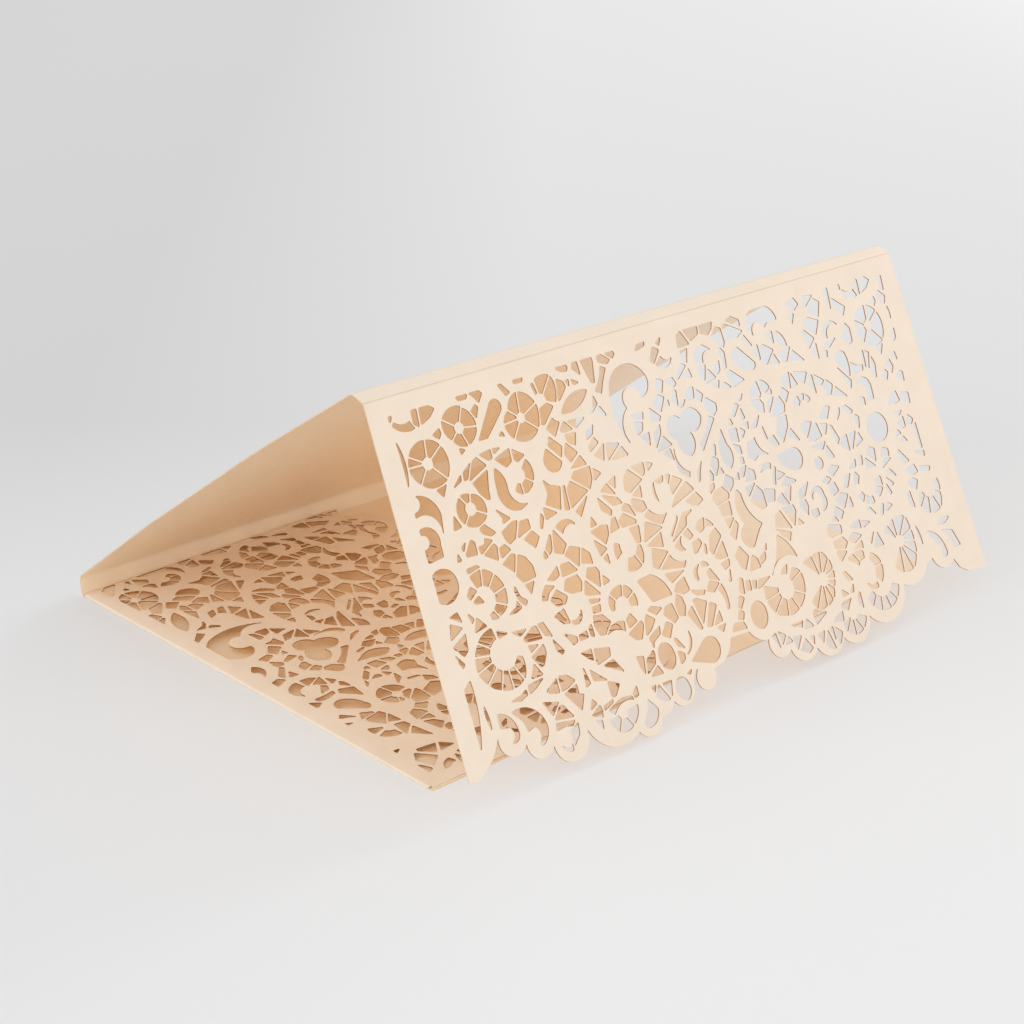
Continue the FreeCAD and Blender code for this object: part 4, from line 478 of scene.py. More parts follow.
LOWER_MIDDLE = lace(
    (61, 81.6, 63.9, 81.7, 62.9, 85.2), ring(66.9, 84.6, 2.1, 2.9, -15),
    (69.2, 81.6, 71, 81.1, 70.2, 82.1), drop(71.8, 79.4, 78.7, 78.5, 3.1),
    petal(73.3, 72.3, 71, 77.5, 0.45, -0.25), (68.2, 72.7, 69, 73, 70.9, 75.8, 69, 74.9),
    (68.4, 75.9, 70.3, 77, 70, 78.4, 68.4, 79), ring(64.7, 76, 2.4, 3.3, -12),
    (60.9, 70.5, 65, 68.7, 64.6, 70.5, 62, 71.7, 61.5, 73.1),
    (65.1, 71, 67.3, 68.4, 69.1, 69.5, 67.3, 72.3), (62.7, 64.3, 64, 63.7, 67.2, 64.9, 65, 66),
    cut((62.1, 57), (66.3, 56.6), (69.6, 58.9, 1), (71.5, 62.8), (65, 62.8), (63.8, 60.2)),
    (64.3, 44.8, 67.4, 44.8, 66.8, 48.6, 65.4, 48.7), (67.8, 49, 69.6, 44.6, 74.5, 47.1),
    (68.3, 50.2, 73.6, 48.1, 73.2, 51.5), (68.3, 55.2, 69.4, 51, 74.1, 53, 69.8, 56.1),
    cut((70.6, 56.5), (74.3, 53.9), (76, 55.9, 1), (79, 56.5), (78, 57.8)),
    (71.2, 57.8, 77.4, 58.5, 72.6, 60.3), (72.5, 62.4, 73.8, 61, 76.8, 60, 77.5, 63.4, 75, 63.7),
    wheel(62.4, 48.4, 3, (8, 3.9), (62, 6), (112, 6)),
    (76.4, 49.8, 80.2, 45.7, 79.9, 46.7, 76.9, 49.9),
    (76.5, 51.3, 79, 48.9, 82.3, 45.6, 85.4, 45.6, 83, 46.7, 82.3, 48.6),
    cut((76.7, 52.5), (79.7, 50.7), (78.9, 52.4, 1), (79.9, 54.1), (78.3, 54)),
    (80.4, 50.4, 82.3, 49.5, 83.5, 51.5, 81.9, 52.1),
    (84.9, 50, 86.5, 48.6, 88.5, 48.4, 87.6, 50.9, 85.9, 51.4), (88.3, 50.6, 89.2, 48.9, 91, 50.8),
    (88.8, 52.8, 91.2, 51.6, 92.4, 53.9, 88.2, 57.5, 87.4, 56.3),
    (88.4, 58.3, 92.3, 55.2, 92.7, 59.1, 89.8, 59.1),
    (89.9, 60.2, 92.8, 59.8, 92.5, 61.3, 90.5, 61.9), (90.7, 65, 92.2, 62.1, 91.6, 65),
    (82.2, 55.7, 82.6, 53, 84.9, 52.7, 85.6, 53.9, 83.4, 55.6),
    (85.4, 56.3, 86.2, 54.4, 86.7, 54.6, 86.3, 56.8),
    cut((80.7, 61.9), (80.4, 59.8, 1), (82.6, 58.5), (81.4, 60, 1), (81.4, 61.9)),
    cut((83.3, 58.3), (84.8, 58.5, 1), (85.6, 59.5), (83.6, 59.3)),
    (84.6, 60.7, 85.7, 60.3, 87.8, 63.8, 84.6, 62.5), (82.8, 65.2, 84.4, 63.1, 87.4, 64.4, 85, 66),
    cut((86.6, 65.9), (87.9, 64.7), (88.8, 68, 1), (88.5, 70.9), (87.7, 71), (87.6, 68, 1)),
    (77.7, 63.5, 79.5, 64.2, 82.3, 64.8, 81.6, 65.6, 79, 65.1),
    (77.4, 65.9, 78.5, 65.8, 81.7, 67.4, 78.8, 72.1),
    (74.7, 68.6, 76.6, 67.1, 78.2, 73.1, 77.3, 73.1),
    (79.7, 73.2, 82.5, 67.9, 84.5, 69, 81.3, 73.4), (82.2, 73.4, 84.8, 70.5, 85.1, 73.1),
    (82.8, 74.2, 85.7, 74, 84.3, 75.7),
    (71.7, 65.5, 72.8, 63.2, 74.3, 64.3, 74.7, 66.5, 73.8, 68.7, 72, 68.2),
    (67.3, 66.6, 68.3, 65, 70.6, 64.8, 71.5, 68.5, 69.9, 69.4),
    (93.1, 68.4, 94.4, 65.1, 95.3, 65.5, 94.7, 69.1),
    (91.2, 71.8, 92.5, 69.1, 94.1, 70, 92.2, 72.2),
    (90.1, 74.2, 91.4, 72.3, 92.7, 73.2, 91.9, 74.9),
    (87.1, 76.6, 88.6, 74.9, 91.6, 75.4, 92.3, 77), (94.5, 47.1, 98.4, 46.8, 98.1, 50.1, 95, 49.7),
    (95.3, 50.5, 98.3, 50.9, 95.9, 53), (95.5, 54.5, 98.5, 51.7, 99.2, 52.8, 97, 56.1),
    cut((101.9, 44.8), (102.9, 46), (104.2, 51.2, 1), (107.2, 54.6), (105.8, 55.6), (102.4, 59.2),
        (99.6, 58, 1), (101.6, 53.4), (100.2, 50, 1)),
    (95.2, 59.7, 97.3, 57.9, 99.5, 60.9, 97.4, 63.8, 96, 62.8),
    (98.6, 64.4, 100.6, 61, 102.2, 62.2, 102.6, 64.4),
    (103, 63.9, 102.9, 62.3, 105.4, 61.2, 105, 63), (105.2, 60.7, 106.6, 59.4, 105.9, 61.2),
    (105.7, 48.7, 108.9, 45.4, 110.6, 47.3, 110.6, 51, 108.5, 51.3),
    (117.7, 47.6, 119.8, 45.8, 123.2, 47.6, 120, 48.1),
    (111.2, 50.2, 111.2, 46.9, 114.9, 47.9, 113.8, 50.5),
    (114.5, 50.5, 117, 49.3, 118.6, 52.6, 116, 51.9), (117.6, 49.8, 120.9, 48.3, 119.1, 51.9),
    (111.4, 56.6, 112.6, 53.9, 114.4, 53.2, 117, 58.3),
    (115.3, 52.9, 119.6, 53, 120, 54.6, 118.2, 58),
    (111.2, 57.2, 116.2, 59.2, 115, 61.1, 112.6, 58.9), (119.2, 58.1, 120, 56.6, 121.5, 58.2),
    cut((110.9, 58.6), (114.2, 61.8, 1), (115.7, 65.3), (110.6, 64, 1), (105.5, 67.6),
        (108.8, 63.4, 1)),
    (95.6, 68.7, 96.1, 66.4, 97.5, 66.5, 97.3, 68.8),
    (98, 68.6, 98.3, 66.8, 99.7, 67.2, 99.1, 68.9),
    wheel(108.9, 71.6, 2.9, (-50, 5.6), (-21, 6.9), (27, 6.5), (65, 6.3), (103, 6.6), (140, 7.4),
          (172, 7.6), (200, 7.6)),
    (99.3, 69.2, 100.5, 67.1, 104.6, 67.4, 101.1, 68.9),
    (108.5, 68, 109.8, 66.5, 111.4, 66.2, 110.6, 68.2), ring(97.4, 75.2, 2.7, 3.4),
    (115.4, 80.1, 116.2, 79.2, 120.2, 80.9, 115.7, 82.8), (106.8, 80.6, 111.2, 80.6, 110.4, 82.1),
    (111.2, 82.6, 112.7, 80.6, 114.5, 82.8), (99.4, 81.3, 100.9, 80.8, 101.3, 84.7),
    (101.8, 80.7, 104.1, 82.3, 102.3, 84.2), (103.4, 84.4, 104.8, 82.7, 106, 84.4),
    (106.2, 83.4, 109.3, 83.9, 106.9, 86.8), (107.8, 87.2, 110.3, 84.9, 112.1, 87.8, 110.4, 88.6),
    (112.1, 84.9, 113.6, 85.2, 112.9, 87.2), (114.9, 85.2, 117.6, 84.9, 116.2, 87.7),
    (117, 88.5, 118.8, 85.1, 120, 90.1, 118, 89.6), (119.7, 84.8, 120.8, 84.8, 120.7, 88.2),
)
LOWER_RIGHT = lace(
    (122.4, 52.1, 122.9, 50.3, 127.2, 48.9, 124.8, 51.9),
    (122, 54, 122.5, 52.8, 124.5, 52.8, 124.9, 54.6, 124, 56.8),
    (125.1, 55.9, 127.9, 56, 128, 57.6, 126, 57.9),
    cut((126.8, 53.2), (128.8, 50.7, 1), (131.6, 53.4), (130.6, 56.8, 1), (129.4, 57),
        (130.6, 54.6, 1), (129.6, 52), (128.2, 51.8, 1), (127.3, 53.4)),
    (135.4, 48.3, 137, 47, 140, 48, 136.7, 49.7),
    (132.3, 50.1, 134.2, 49.2, 135.8, 50.2, 134, 51.2),
    (134, 53.3, 134.8, 51.2, 136.6, 51.4, 137.3, 53.6, 135, 54.4),
    (135.2, 55.8, 137.4, 54.3, 140.1, 55.4, 137.5, 58.4),
    (133.2, 58.7, 134.4, 57.2, 136.8, 59, 135.3, 60.6), (131.6, 60.1, 133.1, 59.4, 134, 60.9),
    (128.7, 62.6, 129.8, 60.8, 134.2, 62, 133.9, 63.9, 129.2, 64),
    (129.8, 65.2, 133.6, 64.9, 134.9, 66.5, 133.6, 67.9, 129.8, 67),
    (129.8, 68.3, 130.4, 67.8, 133.7, 68.7, 130.8, 70.6),
    wheel(122.4, 73, 1.7, (-135, 7.6), (-104, 6.6), (-76, 6.8), (-48, 5.7), (-18, 4.6), (12, 4.2),
          (42, 4.2), (72, 5.6), (98, 6.5), (125, 8), (148, 7.2)),
    (121.4, 89.4, 121.5, 85.2, 123.7, 87, 122.2, 89.4),
    wheel(129.2, 83.6, 1.9, (22, 4.9), (62, 5.2), (95, 5.4), (130, 5.2), (163, 4.4)),
    (121.8, 84, 122.8, 82.9, 125.8, 82.2, 125.4, 84.6, 123.8, 84.3),
    (125.8, 81.6, 126.5, 80.3, 130.2, 80, 128, 82.4),
    (132.3, 81.8, 133.2, 79.3, 134, 79.5, 133.7, 83.5), (127.4, 78.8, 127.7, 77.2, 129.8, 78.8),
    (130.4, 78.7, 132.4, 76.8, 131.9, 78.8), (129.9, 73.2, 130.9, 73.3, 132.8, 75.9, 131, 75.7),
    wheel(139.2, 75.2, 3.4, (-146, 7.6), (-122, 6.4), (-84, 5)),
    wheel(139.4, 75.2, 2.9, (-64, 4.6), (-6, 5.4), (50, 5.4)),
    (135.3, 66.3, 137.5, 64.8, 140.7, 66.2, 137.5, 67.4),
    (136.6, 69, 137.6, 68.2, 140.1, 67.5, 140, 69.4),
    cut((137.6, 78.2), (139.4, 79, 1), (141.2, 78.7), (141.4, 79.9), (139.2, 79.9, 1)),
    wheel(142.4, 78.6, 4.3, (22, 7), (52, 7.3), (78, 7.5), (104, 7.5), (130, 7.3), (156, 7)),
    wheel(154, 71.2, 1.6, (-146, 6), (-118, 5.4), (-90, 5.8), (-50, 7), (-18, 5.7), (12, 5.7),
          (42, 6.6), (72, 8), (100, 8), (128, 7.4)),
    (143.3, 69.3, 143.6, 67.9, 145.4, 66.5), (144.1, 70.3, 146.6, 66.9, 147.8, 70.5),
    (137.4, 63.6, 139, 62.5, 141.4, 62.4, 141.4, 64.4), (142, 62.8, 145.1, 63.8, 142.1, 64.6),
    (143.3, 49.4, 146.6, 47.6, 146.2, 49.4), (147.6, 49.5, 148.5, 47.3, 149.5, 47.4, 148.9, 49.6),
    (149.8, 50.8, 150.4, 48.2, 153.6, 51), (151.2, 47.3, 153, 45.9, 155, 46.8, 154.2, 50),
    (156.5, 49.2, 158, 47.2, 160.1, 48, 159.8, 49.8), (156, 52.2, 157.4, 50, 160.2, 50.4),
    (156.8, 53.4, 158.4, 53, 160.3, 55.2), (156, 54.6, 158.4, 56.8, 157.4, 57.2),
    wheel(148.6, 54.6, 3.4, (-172, 5), (-128, 5.2)),
    wheel(148.6, 54.6, 3.3, (-12, 5.4), (20, 5.6), (58, 5)),
    wheel(148.6, 54.6, 3.4, (78, 5), (128, 5.2), (160, 5.2)),
    (139.4, 53.6, 141.4, 50.8, 143.2, 50.6, 141, 53.6), (139.2, 58.6, 140.6, 56, 140.9, 58.7),
    (154.9, 56.7, 155.6, 56.4, 156.7, 59, 155.7, 59.2),
    (149.9, 63.2, 151.4, 60.6, 152.2, 60.8, 151, 63.2),
    (152, 62.4, 153.6, 60.9, 155.4, 61.8, 152.9, 62.8), (145.4, 60.5, 146.8, 60.4, 148.4, 62.6),
    (162, 60.2, 163.5, 60.2, 163.8, 64.5, 162.1, 63.9),
    petal(161.6, 69.2, 162.4, 74.2, 0.14, 0.14), (165.8, 47.4, 167.4, 46.2, 168.6, 47.8),
    (172.4, 44.9, 173.8, 44, 173.6, 50.6, 172.8, 50.6),
    (163.2, 49.6, 164, 49.2, 166.9, 52.8, 164.4, 52.9),
    (169.8, 51, 171.8, 51.4, 173.8, 51.6, 173.4, 53),
    (164, 54.6, 168.2, 54, 169, 56.2, 166.8, 56.6), (170, 55, 174.2, 56, 173.6, 56.9, 170.2, 56.4),
    (163.9, 57.6, 166, 57.3, 167.8, 58.2, 166.4, 60.4, 164.4, 59.2),
    wheel(171, 60.8, 2.9, (-20, 4.6), (26, 4.8), (66, 6.6), (104, 6.8), (136, 6.4), (170, 4.4)),
    petal(170, 70.8, 175.4, 70, 0.25, 0.25),
    cut((165.2, 71.6), (169.4, 74, 1), (170.8, 77.6), (169.6, 79.3, 1), (168.6, 78.6),
        (169.2, 76.4, 1), (167.6, 75)),
    cut((171.2, 72.6), (175.2, 73.6), (176.8, 77.9), (174.2, 77.8), (173.4, 74.8, 1)),
)

LACE = (CORNER + moved(CORNER, dx=154.6) + UPPER_LEFT + UPPER_MIDDLE + UPPER_RIGHT
        + LOWER_LEFT + LOWER_MIDDLE + LOWER_RIGHT)

# lower edge of the flap, from the left foot to the right one: discs between sharp notches
SCALLOPS = cut(
    (3, 86), (6, 84), (8, 82.5), (10.6, 78.8), (13.2, 83.9, 1), (17.8, 82.4), (21.0, 86.9, 1),
    (25.1, 85.2), (29.7, 90.5, 1), (35.5, 84.5), (42.2, 91.0, 1), (50.2, 89.9), (54.2, 92.2, 1),
    (58.3, 88.7), (61.0, 88.5, 1), (63, 86.5), (66.7, 88.6, 1), (70.5, 84.2), (71.4, 82.4),
    (73.0, 81.4), (72.0, 83.2), (74.6, 87.3, 1), (78, 83), (82, 82.5), (84.5, 80.5), (86, 77.7),
    (92.5, 78), (94.8, 80.5, 1), (98.2, 81.6), (100.4, 86.9, 1), (104.6, 86), (108.6, 90.1, 1),
    (113.6, 88.2), (118.4, 91.6, 1), (123.7, 88.4), (128.6, 91.2, 1), (134.8, 85.8),
    (142.2, 89.4, 1), (150.6, 81.9), (155.8, 83.0, 1), (161.5, 79.5), (164.4, 78.4),
    (167.8, 82.0, 1), (172.5, 80.8), (174, 83.5), (177, 85.2),
)[0]


# ---- flat outlines into smooth loops --------------------------------------------------------

def arc_through(start, via, stop):
    """Points along the arc from start through via, without stop."""
    (ax, ay), (bx, by), (cx, cy) = start, via, stop
    twice_area = 2 * (ax * (by - cy) + bx * (cy - ay) + cx * (ay - by))
    if abs(twice_area) < FLAT_ARC:
        return [start, via]
    a2, b2, c2 = ax * ax + ay * ay, bx * bx + by * by, cx * cx + cy * cy
    x = (a2 * (by - cy) + b2 * (cy - ay) + c2 * (ay - by)) / twice_area
    y = (a2 * (cx - bx) + b2 * (ax - cx) + c2 * (bx - ax)) / twice_area
    radius = hypot(ax - x, ay - y)
    first, middle, last = (atan2(py - y, px - x) for px, py in (start, via, stop))
    sweep = (last - first) % (2 * pi)
    if (middle - first) % (2 * pi) > sweep:
        sweep -= 2 * pi
    steps = max(2, ceil(abs(sweep) * radius / ARC_STEP), ceil(abs(sweep) / ARC_TURN))
    return [(x + radius * cos(first + sweep * step / steps),
             y + radius * sin(first + sweep * step / steps)) for step in range(steps)]


def loop_of(outline):
    """Closed loop of points from an outline of (x, y, is_arc_point), its sharp corners rounded."""
    while outline[0][2]:
        outline = outline[1:] + outline[:1]
    corners, points = [], []
    index = 0
    while index < len(outline):
        here = outline[index][:2]
        following = outline[(index + 1) % len(outline)]
        if following[2]:
            run = arc_through(here, following[:2], outline[(index + 2) % len(outline)][:2])
            index += 1
        else:
            run = [here]
        corners += [True] + [False] * (len(run) - 1)
        points += run
        index += 1
    rounded = []
    for index, (point, is_corner) in enumerate(zip(points, corners)):
        before = points[index - 1]
        after = points[(index + 1) % len(points)]
        turn_in = (point[0] - before[0], point[1] - before[1])
        turn_out = (after[0] - point[0], after[1] - point[1])
        length_in, length_out = hypot(*turn_in), hypot(*turn_out)
        bend = abs(atan2(turn_in[0] * turn_out[1] - turn_in[1] * turn_out[0],
                         turn_in[0] * turn_out[0] + turn_in[1] * turn_out[1]))
        if not is_corner or bend < CORNER_TURN or min(length_in, length_out) < SHORT_SIDE:
            rounded.append(point)
            continue
        back = min(CORNER_ROUND, CORNER_SHARE * length_in, CORNER_SHARE * length_out)
        start = [here - way * back / length_in for here, way in zip(point, turn_in)]
        stop = [here + way * back / length_out for here, way in zip(point, turn_out)]
        for t in (0, 0.35, 0.65, 1):
            rounded.append(tuple((1 - t) ** 2 * a + 2 * t * (1 - t) * b + t ** 2 * c
                                 for a, b, c in zip(start, point, stop)))
    return rounded


def divided(points, spacing):
    """The same closed loop with its sides divided into steps no longer than the spacing."""
    result = []
    for (x0, y0), (x1, y1) in zip(points, points[1:] + points[:1]):
        steps = max(1, ceil(hypot(x1 - x0, y1 - y0) / spacing))
        result += [(x0 + (x1 - x0) * step / steps, y0 + (y1 - y0) * step / steps)
                   for step in range(steps)]
    return result


def widened(openings, edge):
    """The openings as the laser leaves them: each side moved out, but never through a thread."""
    loops = [divided(loop, RIM_STEP) for loop in (*openings, edge)]
    owners = [number for number, loop in enumerate(loops) for _ in loop]
    tree = KDTree(len(owners))
    for index, point in enumerate(point for loop in loops for point in loop):
        tree.insert((*point, 0), index)
    tree.balance()
    result = []
    for number, loop in enumerate(loops[:-1]):
        area = sum(x0 * y1 - x1 * y0 for (x0, y0), (x1, y1) in zip(loop, loop[1:] + loop[:1]))
        side = 1 if area > 0 else -1
        moved_loop = []
        for before, (x, y), after in zip(loop[-1:] + loop, loop, loop[1:] + loop[:1]):
            _, _, gap = tree.find((x, y, 0), filter=lambda index: owners[index] != number)
            move = side * min(LASER_WIDENS, max(0, (gap - FINEST_THREAD) / 2))
            across = Vector((after[1] - before[1], before[0] - after[0])).normalized() * move
            moved_loop.append((x + across.x, y + across.y))
        result.append(moved_loop)
    return result


def kept_beyond(loop, axis, limit, side):
    """The part of a loop with side * coordinate >= side * limit, cut off along the limit."""
    result = []
    for before, here in zip(loop[-1:] + loop, loop):
        inside_before = side * before[axis] >= side * limit
        inside = side * here[axis] >= side * limit
        if inside_before != inside:
            share = (limit - before[axis]) / (here[axis] - before[axis])
            result.append(tuple(a + (b - a) * share for a, b in zip(before, here)))
        if inside:
            result.append(here)
    return result


def dotted(start, stop):
    """Points along a straight line, to both its ends."""
    steps = ceil(hypot(stop[0] - start[0], stop[1] - start[1]) / CREASE_STEP)
    return [tuple(a + (b - a) * step / steps for a, b in zip(start, stop))
            for step in range(steps + 1)]


# ---- sheets ---------------------------------------------------------------------------------

OUTSIDE, CUT, INSIDE, BARE, UNDER = range(5)     # material slots of a sheet


def edge_key(a, b):
    return min(a, b), max(a, b)


def cut_out(loops, crease_lines, inner_points):
    """Triangles of the flat sheet inside the first loop and outside the others.

    The mesh follows the crease lines. Returns the points, the triangles, the edges at which the
    sheet ends, and those of them that lie on the first loop.
    """
    flat, edges = [], []
    for loop in loops:
        first = len(flat)
        flat += loop
        edges += [(first + i, first + (i + 1) % len(loop)) for i in range(len(loop))]
    cut_edges = len(edges)
    for line in crease_lines:
        first = len(flat)
        flat += line
        edges += [(first + i, first + i + 1) for i in range(len(line) - 1)]
    flat += inner_points
    # type 1: only the triangles inside the edges
    points, out_edges, faces, _, edge_sources, _ = delaunay_2d_cdt(
        [Vector(point) for point in flat], edges, [], 1, SAME_POINT)
    rim, outside = set(), set()
    for edge, sources in zip(out_edges, edge_sources):
        if any(source < cut_edges for source in sources):
            rim.add(edge_key(*edge))
        if any(source < len(loops[0]) for source in sources):
            outside.add(edge_key(*edge))

    neighbours = {}
    for number, face in enumerate(faces):
        for a, b in zip(face, face[1:] + face[:1]):
            neighbours.setdefault(edge_key(a, b), []).append(number)
    # from the outer edge inwards, as far as no cut is crossed
    waiting = [neighbours[key][0] for key in sorted(outside) if len(neighbours[key]) == 1]
    kept = set(waiting)
    while waiting:
        face = faces[waiting.pop()]
        for a, b in zip(face, face[1:] + face[:1]):
            if edge_key(a, b) in rim:
                continue
            for other in neighbours[edge_key(a, b)]:
                if other not in kept:
                    kept.add(other)
                    waiting.append(other)
    ends = {key for key in rim if sum(number in kept for number in neighbours.get(key, ())) == 1}
    return points, [faces[number] for number in sorted(kept)], ends, ends & outside


def folded_sheet(name, cutting, place, slots_at, is_trimmed, materials):
    """Folds a cut-out sheet with place(u, v) and gives it its thickness.

    place: arrays u, v in flat millimetres to an array of points in card millimetres.
    slots_at: the material slots of the inside and the outside at flat point u, v.
    is_trimmed: whether the outer edge at u, v is trimmed clean, not burnt by the laser.
    """
    points, sheet_faces, ends, outside = cutting
    uv = np.array([tuple(point) for point in points])
    used = sorted({index for face in sheet_faces for index in face})
    number_of = {index: number for number, index in enumerate(used)}
    uv = uv[used]
    u, v = uv.T
    middle = place(u, v)
    across = place(u + SLOPE_STEP, v) - place(u - SLOPE_STEP, v)
    along = place(u, v + SLOPE_STEP) - place(u, v - SLOPE_STEP)
    normal = np.cross(across, along)
    normal /= np.linalg.norm(normal, axis=1)[:, None]
    count = len(used)
    vertices = np.concatenate([middle + normal * SHEET / 2, middle - normal * SHEET / 2])
    faces, slots = [], []
    for face in sheet_faces:
        a, b, c = (number_of[index] for index in face)
        faces += [(a, b, c), (a + count, c + count, b + count)]
        slots += slots_at(*((uv[a] + uv[b] + uv[c]) / 3))
        for first, second in zip(face, face[1:] + face[:1]):
            key = edge_key(first, second)
            if key in ends:
                p, q = number_of[first], number_of[second]
                faces.append((q, p, p + count, q + count))
                slots.append(BARE if key in outside and is_trimmed(*uv[p]) else CUT)
    mesh = bpy.data.meshes.new(name)
    mesh.from_pydata([to_frame(vertex) for vertex in vertices], [], faces)
    for material in materials:
        mesh.materials.append(material)
    mesh.polygons.foreach_set("material_index", slots)
    mesh.polygons.foreach_set("use_smooth", [True] * len(faces))
    mesh.set_sharp_from_angle(angle=SHARP_EDGE)
    mesh.validate()
    mesh.update()
    piece = bpy.data.objects.new(name, mesh)
    bpy.context.collection.objects.link(piece)
    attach(piece, "root")
    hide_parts("pocket_fold_card")


def to_frame(point):
    """Card millimetres to metres in the frame."""
    return (cad_box[0][0] + point[0] * MM, SPINE_Y + point[1] * MM, point[2] * MM)


# ---- the folded section, from the front edge of the base to the foot of the flap ------------

def section_corners():
    """Corners (y, z, bend) of the section, from the front of the base round to past the foot."""
    spine = (SPINE_WIDTH * cos(SPINE_LEAN), SHEET / 2 + SPINE_WIDTH * sin(SPINE_LEAN))
    bowed = []
    for share in BOW_AT:
        along = share * BACK_DEPTH
        bowed.append((spine[0] - along * cos(BACK_LEAN) + BACK_BOW * sin(BACK_LEAN),
                      spine[1] + along * sin(BACK_LEAN) + BACK_BOW * cos(BACK_LEAN), BOW_BEND))
    rear = (spine[0] - BACK_DEPTH * cos(BACK_LEAN), spine[1] + BACK_DEPTH * sin(BACK_LEAN))
    front = (rear[0] - RIDGE_WIDTH * cos(RIDGE_FALL), rear[1] - RIDGE_WIDTH * sin(RIDGE_FALL))
    foot = (front[0] - FLAP_RUN * sin(FLAP_TILT), front[1] - FLAP_RUN * cos(FLAP_TILT))
    return [(-BASE_DEPTH, SHEET / 2, 0), (0, SHEET / 2, FOLD_BEND), (*spine, SOFT_BEND), *bowed,
            (*rear, SOFT_BEND), (*front, SOFT_BEND), (*foot, 0)]


def section_line(corners):
    """The section as a fine line, and the first and last point on it of each fold."""
    line, folds = [corners[0][:2]], []
    for before, (x, y, bend), after in zip(corners, corners[1:], corners[2:]):
        here = Vector((x, y))
        incoming = (here - Vector(before[:2])).normalized()
        outgoing = (Vector(after[:2]) - here).normalized()
        half = incoming.angle(outgoing) / 2
        back = bend * sin(half) / cos(half)
        centre = here + (outgoing - incoming).normalized() * (bend / cos(half))
        start = here - incoming * back - centre
        turn = incoming.x * outgoing.y - incoming.y * outgoing.x
        for step in range(FOLD_STEPS + 1):
            angle = 2 * half * step / FOLD_STEPS * (1 if turn > 0 else -1)
            line.append(tuple(centre + Matrix.Rotation(angle, 2) @ start))
        if bend < BOW_BEND:
            folds.append((len(line) - 1 - FOLD_STEPS, len(line) - 1))
    line.append(corners[-1][:2])
    return np.array(line), folds


SECTION, FOLDS = section_line(section_corners())
STATION = np.concatenate([[0], np.cumsum(np.hypot(*np.diff(SECTION, axis=0).T))])
SPINE_Y = cad_box[1][1] - (SECTION[:, 0].max() + SHEET / 2) * MM
FLAP_TOP = (STATION[FOLDS[-1][0]] + STATION[FOLDS[-1][1]]) / 2


def place_card(u, v):
    """Flat card to its folded, slightly warped form."""
    down = np.clip((v - FLAP_TOP) / FLAP_REACH, 0, None)
    far = np.clip(u / CARD_LENGTH, 0, 1)
    station = v + FLAP_REACH * down * ((NEAR_RISE + FAR_DROP) * far - NEAR_RISE)
    outwards = down * (NEAR_FOOT + (FAR_FOOT - NEAR_FOOT) * far)
    y = np.interp(station, STATION, SECTION[:, 0])
    z = np.interp(station, STATION, SECTION[:, 1])
    return np.stack([u, y - outwards * cos(FLAP_TILT), z + outwards * sin(FLAP_TILT)], axis=1)


def make_card(materials):
    """Base, spine, back, ridge and lace flap, out of one sheet."""
    outline = [(0, FLAP_TOP + FLAP_REACH, False)]
    outline += [(x, FLAP_TOP + y, is_via) for x, y, is_via in SCALLOPS]
    outline += [(CARD_LENGTH, FLAP_TOP + FLAP_REACH, False), (CARD_LENGTH, 0, False),
                (POCKET_LEFT, 0, False), (POCKET_LEFT, BASE_DEPTH - CREASE_STOPS, False),
                (0, BASE_DEPTH - CREASE_STOPS, False)]
    openings = [[(x, y + FLAP_TOP, is_via) for x, y, is_via in opening] for opening in LACE]
    edge = loop_of(outline)
    loops = [divided(edge, GRID)] + widened([loop_of(opening) for opening in openings], edge)
    creases = [dotted((0, STATION[number]), (CARD_LENGTH, STATION[number]))
               for first, last in FOLDS for number in range(first, last + 1)]
    inner = [(GRID * column, GRID * row)
             for column in range(1, int(CARD_LENGTH / GRID))
             for row in range(1, int((FLAP_TOP + FLAP_REACH) / GRID))]
    scores = [(STATION[first + SCORE_FROM], STATION[last - SCORE_FROM]) for first, last in FOLDS]

    def slots_at(u, v):
        return INSIDE, BARE if any(start < v < stop for start, stop in scores) else OUTSIDE

    def is_trimmed(u, v):
        """Everywhere but along the scallops."""
        return v < FLAP_TOP + TRIM_BELOW or not TRIM_IN < u < CARD_LENGTH - TRIM_IN

    folded_sheet("card", cut_out(loops, creases, inner), place_card, slots_at, is_trimmed,
                 materials)


# ---- the pocket -----------------------------------------------------------------------------

def rolled(distance, bend):
    """A strip bent back under itself: how far it has come back, and how far down."""
    angle = np.clip(distance / bend, 0, pi)
    return (bend * np.sin(angle) - np.clip(distance - pi * bend, 0, None),
            bend * (1 - np.cos(angle)))


def place_pocket(u, v):
    """Flat pocket to its place: u from the card's left edge, v from the spine to the front."""
    out = np.clip(u, 0, None)
    side_level = SHEET / 2 + 2 * POCKET_BEND + POCKET_RISE * out
    side_bend = np.maximum(TAB_BEND, (side_level - TAB_LEVEL) / 2)
    back_left, down_left = rolled(np.clip(POCKET_LEFT - u, 0, None), POCKET_BEND)
    back_rear, down_rear = rolled(np.clip(POCKET_SIDES - v, 0, None), side_bend)
    back_front, down_front = rolled(np.clip(v - (BASE_DEPTH - POCKET_SIDES), 0, None), side_bend)
    x = np.maximum(u, POCKET_LEFT) - back_left
    y = -np.clip(v, POCKET_SIDES, BASE_DEPTH - POCKET_SIDES) + back_rear - back_front
    across = np.clip((v - POCKET_SIDES) / (BASE_DEPTH - 2 * POCKET_SIDES), 0, 1)
    lift = POCKET_LIFT * (1 - np.exp(-out / LIFT_STARTS)) * (1 - (2 * across - 1) ** 4)
    return np.stack([x, y, side_level + lift - down_left - down_rear - down_front], axis=1)


